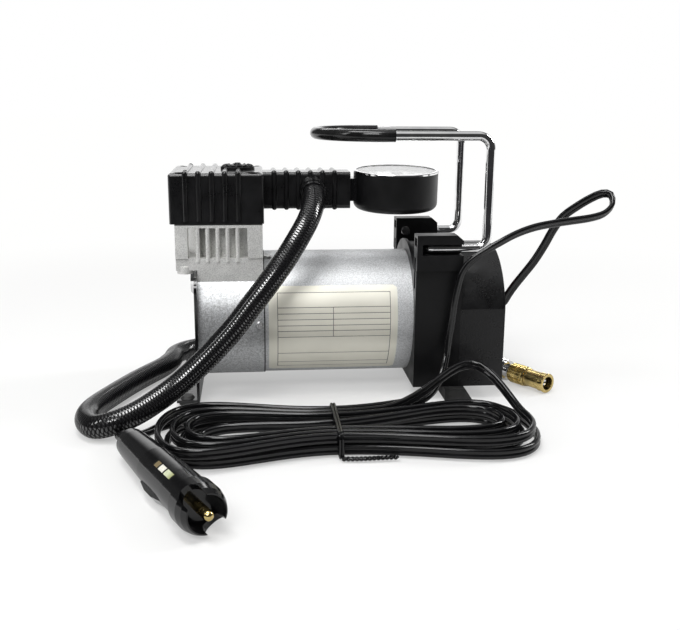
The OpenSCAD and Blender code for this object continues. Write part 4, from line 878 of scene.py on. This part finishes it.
def spokes(name, count, radius, long, wide, high, finish_name, first=0.0):
    """Round-backed ribs that stand round a centre along Z, each pointing outwards."""

    def build(forms, given):
        ring = forms.node("GeometryNodeMeshCircle", {}, {"Vertices": given["Ribs"], "Radius": given["Radius"]})
        ball = forms.node("GeometryNodeMeshUVSphere", {}, {"Segments": 12, "Rings": 8, "Radius": 0.5})
        size = forms.node("ShaderNodeCombineXYZ", {},
                          {"X": given["Length"], "Y": given["Width"], "Z": given["Height"]})
        form = forms.node("GeometryNodeTransform", {}, {"Geometry": ball, "Scale": size})
        forms.strew(ring, form, "X", forms.node("GeometryNodeInputPosition"), finish_name)

    mesh = repeated(name, {
        "Ribs": (count, 3, 90), "Radius": (radius, 0.0005, 0.1), "Length": (long, 0.0002, 0.05),
        "Width": (wide, 0.0001, 0.02), "Height": (high, 0.0001, 0.02),
    }, build)
    mesh.transform(turn(first, "Z"))
    return mesh


class INFLATOR_OT_chuck(Step, Operator):
    """Knurl and turned rings of the brass chuck, and the crimp on the hose's end"""

    bl_idname = "inflator.chuck"
    bl_label = "Chuck"

    def make(self, scene):
        place = chuck_frame()
        teeth = knurl(count=34, rows=9, radius=CHUCK_R * MM, long=9.0 * MM, tooth=sizes().knurl_tooth * 1.35,
                      height=0.5 * MM, finish_name="brass")
        teeth.transform(place @ moved(0, 0, 6.0))
        finished("chuck_knurl", teeth, "brass", body="chuck_barrel", crease=20)
        rings = [bead(r, at, wide, 0.5, place)
                 for at, r, wide in ((11.9, 5.32, 0.5), (13.2, 5.12, 0.35), (CHUCK_LEN - 4.2, 5.2, 0.5),
                                     (CHUCK_LEN - 0.55, 5.42, 0.5))]
        new_piece("chuck_rings", *joined(*rings), "brass", body="chuck_barrel")
        crimp = [bead(5.95, at, 0.55, 0.5, place) for at in (-10.6, -8.9, -7.2, -5.5)]
        new_piece("stem_crimp", *joined(*crimp), "chrome")


class INFLATOR_OT_head_cap(Step, Operator):
    """Ribs and rim of the cap on the head"""

    bl_idname = "inflator.head_cap"
    bl_label = "Head cap"

    def make(self, scene):
        place = moved(*HEAD_CAP_AT)
        ribs = spokes("cap_ribs", count=14, radius=6.9 * MM, long=3.9 * MM, wide=1.4 * MM, high=3.2 * MM,
                      finish_name="black_plastic", first=6)
        ribs.transform(place @ moved(0, 0, 1.3))
        finished("cap_ribs", ribs, "black_plastic")
        rim = [(9.4, 0.9), (9.4, 1.5), (9.0, 1.75), (8.5, 1.6), (8.5, 0.9)]
        new_piece("cap_rim", *turned(rim, 64, place), "black_plastic")


# ---- label, dial and marks


# The plate's ends along the can, in mm, its edges in degrees above the can's front, and its corner's radius
LABEL_LEFT, LABEL_RIGHT, LABEL_TOP, LABEL_BOTTOM, LABEL_CORNER = -39.2, 31.7, 35.5, -56.6, 2.2
# Ruled lines: their width, the frame's sides, the rows from the top, and a divider from the second to the seventh row
RULE_WIDE = 0.34
RULE_DEGREES = math.degrees(RULE_WIDE / CAN_R)
RULE_SIDES = (-34.3, 27.6)
RULE_ROWS = (28.9, 15.4, 9.95, 4.6, -0.8, -5.9, -11.6, -29.3, -41.8, -49.0)
RULE_DIVIDER = -3.9


class INFLATOR_OT_label(Step, Operator):
    """Label plate on the can, with ruled lines and no print"""

    bl_idname = "inflator.label"
    bl_label = "Label"

    def make(self, scene):
        xs = self.cuts(LABEL_LEFT, LABEL_RIGHT, 12, (*RULE_SIDES, RULE_DIVIDER), RULE_WIDE)
        angles = self.cuts(LABEL_BOTTOM, LABEL_TOP, 40, RULE_ROWS, RULE_DEGREES)
        points, faces, inked = [], [], []
        for r in (CAN_R + sizes().label_foil / MM, CAN_R - 0.1):
            for a in angles:
                near = min(LABEL_TOP - a, a - LABEL_BOTTOM) * math.radians(1) * CAN_R
                inset = 0.0
                if near < LABEL_CORNER:
                    inset = LABEL_CORNER - math.sqrt(max(0, LABEL_CORNER**2 - (LABEL_CORNER - near) ** 2))
                ahead, above = polar(r, a)
                for x in xs:
                    x = max(LABEL_LEFT + inset, min(LABEL_RIGHT - inset, x))
                    points.append(Vector((x, -ahead, AXIS_Z + above)) * MM)
        wide, tall = len(xs), len(angles)
        for j in range(tall - 1):
            for i in range(wide - 1):
                x, a = (xs[i] + xs[i + 1]) / 2, (angles[j] + angles[j + 1]) / 2
                k = j * wide + i
                faces.append((k, k + 1, k + 1 + wide, k + wide))
                in_frame = RULE_SIDES[0] - RULE_WIDE / 2 < x < RULE_SIDES[1] + RULE_WIDE / 2
                on_row = in_frame and any(abs(a - row) < RULE_DEGREES / 2 for row in RULE_ROWS)
                on_side = (RULE_ROWS[-1] < a < RULE_ROWS[0]
                           and min(abs(x - side) for side in RULE_SIDES) < RULE_WIDE / 2)
                on_divider = RULE_ROWS[6] < a < RULE_ROWS[1] and abs(x - RULE_DIVIDER) < RULE_WIDE / 2
                inked.append(int(on_row or on_side or on_divider))
        rim = (list(range(wide)) + [j * wide + wide - 1 for j in range(1, tall)]
               + [(tall - 1) * wide + i for i in range(wide - 2, -1, -1)] + [j * wide for j in range(tall - 2, 0, -1)])
        under = wide * tall
        for a, b in zip(rim, rim[1:] + rim[:1]):
            faces.append((a, a + under, b + under, b))
            inked.append(0)
        new_piece("label_plate", points, faces, ["label_foil", "label_ink"], slot="silver_paint", face_finish=inked)

    def cuts(self, first, last, steps, lines, line_wide):
        """Even places from first to last and both edges of every line, without those that almost coincide."""
        places = {first, last} | {first + (last - first) * i / steps for i in range(steps + 1)}
        for line in lines:
            places |= {line - line_wide / 2, line + line_wide / 2}
        kept = [first]
        for place in sorted(places):
            if place - kept[-1] > 1e-4:
                kept.append(place)
        return kept


# Degrees of the scale's start, and clockwise from there
DIAL_FIRST, DIAL_SWEEP = 225, 270
OUTER_R, OUTER_TICKS, RED_FROM_TICK = 19.6, 60, 50
INNER_R, INNER_TICKS = 10.7, 20


class INFLATOR_OT_dial(Step, Operator):
    """Scale and numbers of the gauge"""

    bl_idname = "inflator.dial"
    bl_label = "Dial"

    def make(self, scene):
        self.place = gauge_frame() @ moved(0, 0, -DIAL_DEPTH)
        ticks, red = [], []
        for i in range(OUTER_TICKS + 1):
            long = 2.6 if i % 10 == 0 else 1.9 if i % 5 == 0 else 1.2
            wide = 0.34 if i % 10 == 0 else 0.2
            tick = self.bar(self.degrees(i / OUTER_TICKS), OUTER_R - long, OUTER_R, wide)
            (red if i >= RED_FROM_TICK else ticks).append(tick)
        ticks.append(self.arc(OUTER_R - 0.1, OUTER_R + 0.15))
        ticks.append(self.arc(INNER_R - 0.1, INNER_R + 0.05))
        for i in range(INNER_TICKS + 1):
            long = 1.4 if i % 4 == 0 else 0.8
            ticks.append(self.bar(self.degrees(i / INNER_TICKS), INNER_R - long, INNER_R, 0.16))
        new_piece("dial_scale", *joined(*ticks), "dial_ink", slot="needle_black")
        new_piece("dial_red", *joined(*red), "dial_red", slot="rocker_red")
        self.numbers([(str(50 * i), self.degrees(i / 6), 14.4, 3.0) for i in range(7)]
                     + [(str(5 * i), self.degrees(i / 4), 7.3, 1.7) for i in range(5)])

    def degrees(self, share):
        return DIAL_FIRST - DIAL_SWEEP * share

    def bar(self, degrees, r0, r1, wide):
        spin = turn(degrees, "Z")
        points = [self.place @ spin @ (Vector((r, w, 0)) * MM)
                  for r, w in ((r0, -wide / 2), (r1, -wide / 2), (r1, wide / 2), (r0, wide / 2))]
        return points, [(0, 1, 2, 3)]

    def arc(self, r0, r1):
        """A thin line along the whole scale."""
        points = []
        for i in range(OUTER_TICKS + 1):
            at = self.degrees(i / OUTER_TICKS)
            points += [self.place @ (Vector((*polar(r, at), 0)) * MM) for r in (r0, r1)]
        return points, [(2 * i, 2 * i + 2, 2 * i + 3, 2 * i + 1) for i in range(OUTER_TICKS)]

    def numbers(self, words):
        parts = []
        for text, degrees, radius, height in words:
            curve = bpy.data.curves.new("number", "FONT")
            curve.body, curve.size, curve.align_x, curve.align_y = text, height * MM, "CENTER", "CENTER"
            curve.resolution_u = 3
            mesh = plain_mesh(linked("number", curve))
            mesh.transform(self.place @ moved(*polar(radius, degrees), 0))
            parts.append(([v.co.copy() for v in mesh.vertices], [tuple(p.vertices) for p in mesh.polygons]))
        new_piece("dial_numbers", *joined(*parts), "dial_ink", slot="needle_black")


class INFLATOR_OT_switch_marks(Step, Operator):
    """The two marks on the rocker: a bar for on and a ring for off"""

    bl_idname = "inflator.switch_marks"
    bl_label = "Switch marks"

    def make(self, scene):
        place = moved(*ROCKER_AT) @ turn(ROCKER_REST_TURN, "Y")
        rise = ROCKER_RISE / ROCKER_ARM
        for name, side in (("mark_on", -1), ("mark_off", 1)):
            face = (place @ moved(ROCKER_FACE + rise * MARK_AT, 0, side * MARK_AT)
                    @ turn(90 - side * math.degrees(math.atan(rise)), "Y") @ moved(0, 0, 0.02))
            if side < 0:
                points = [(-1.4, -0.22), (1.4, -0.22), (1.4, 0.22), (-1.4, 0.22)]
                faces = [(0, 1, 2, 3)]
            else:
                points = [polar(r, 15 * k) for k in range(24) for r in (0.95, 1.35)]
                faces = [(2 * k, 2 * k + 1, (2 * k + 3) % 48, (2 * k + 2) % 48) for k in range(24)]
            new_piece(name, [face @ (Vector((x, y, 0)) * MM) for x, y in points], faces, "mark_white",
                      body="rocker", slot="dial_white")


class INFLATOR_OT_trim(Step, Operator):
    """Black ring painted in as the shade of the seam between drum and can, and the plug's moulded ring"""

    bl_idname = "inflator.trim"
    bl_label = "Trim"

    def make(self, scene):
        place = moved(SEAM_X, 0, AXIS_Z) @ turn(90, "Y")
        # This ring is painted shade: a black band standing in for the shaded gap between drum and can
        seam = [(CAN_R - 0.1, 0.01), (DRUM_R - 0.02, 0.01), (DRUM_R + 0.02, 0.3), (DRUM_R - 0.1, 0.62),
                (CAN_R - 0.1, 0.7)]
        new_piece("seam_shade_ring", *turned(seam, 96, place), "seam_black", slot="black_paint")
        new_piece("plug_trim", *bead(9.4, PLUG_LEN + 11.6, 0.45, 0.6, plug_frame()), "gloss_black")


class INFLATOR_OT_finishes(Step, Operator):
    """Finish of every solid"""

    bl_idname = "inflator.finishes"
    bl_label = "Finishes"

    def make(self, scene):
        for part in frame["record"]["subparts"]:
            node = nodes[part["node"]]
            made = finish(SPECIAL.get(part["node"], part["material_slot"]))
            if not node.material_slots:
                node.data.materials.append(made)
            for slot in node.material_slots:
                slot.material = made


OPERATORS = (
    INFLATOR_OT_stage, INFLATOR_OT_wire_tie, INFLATOR_OT_chuck, INFLATOR_OT_trim, INFLATOR_OT_hose,
    INFLATOR_OT_power_cord, INFLATOR_OT_finishes, INFLATOR_OT_label, INFLATOR_OT_dial, INFLATOR_OT_head_cap,
    INFLATOR_OT_switch_marks,
)


class INFLATOR_PT_panel(Panel):
    """Lists the steps and the settings"""

    bl_label = "Tire inflator"
    bl_space_type = "VIEW_3D"
    bl_region_type = "UI"
    bl_category = "Inflator"

    def draw(self, context):
        for step in OPERATORS:
            self.layout.operator(step.bl_idname)
        for group in (context.scene.inflator_colours, context.scene.inflator_sizes):
            for name in group.__annotations__:
                self.layout.prop(group, name)


CLASSES = (InflatorColours, InflatorSizes, *OPERATORS, INFLATOR_PT_panel)


def register():
    for each in CLASSES:
        bpy.utils.register_class(each)
    bpy.types.Scene.inflator_colours = PointerProperty(type=InflatorColours)
    bpy.types.Scene.inflator_sizes = PointerProperty(type=InflatorSizes)


def unregister():
    del bpy.types.Scene.inflator_colours, bpy.types.Scene.inflator_sizes
    for each in reversed(CLASSES):
        bpy.utils.unregister_class(each)


def main():
    register()
    for step in OPERATORS:
        group, name = step.bl_idname.split(".")
        getattr(getattr(bpy.ops, group), name)()


if __name__ == "__main__":
    main()
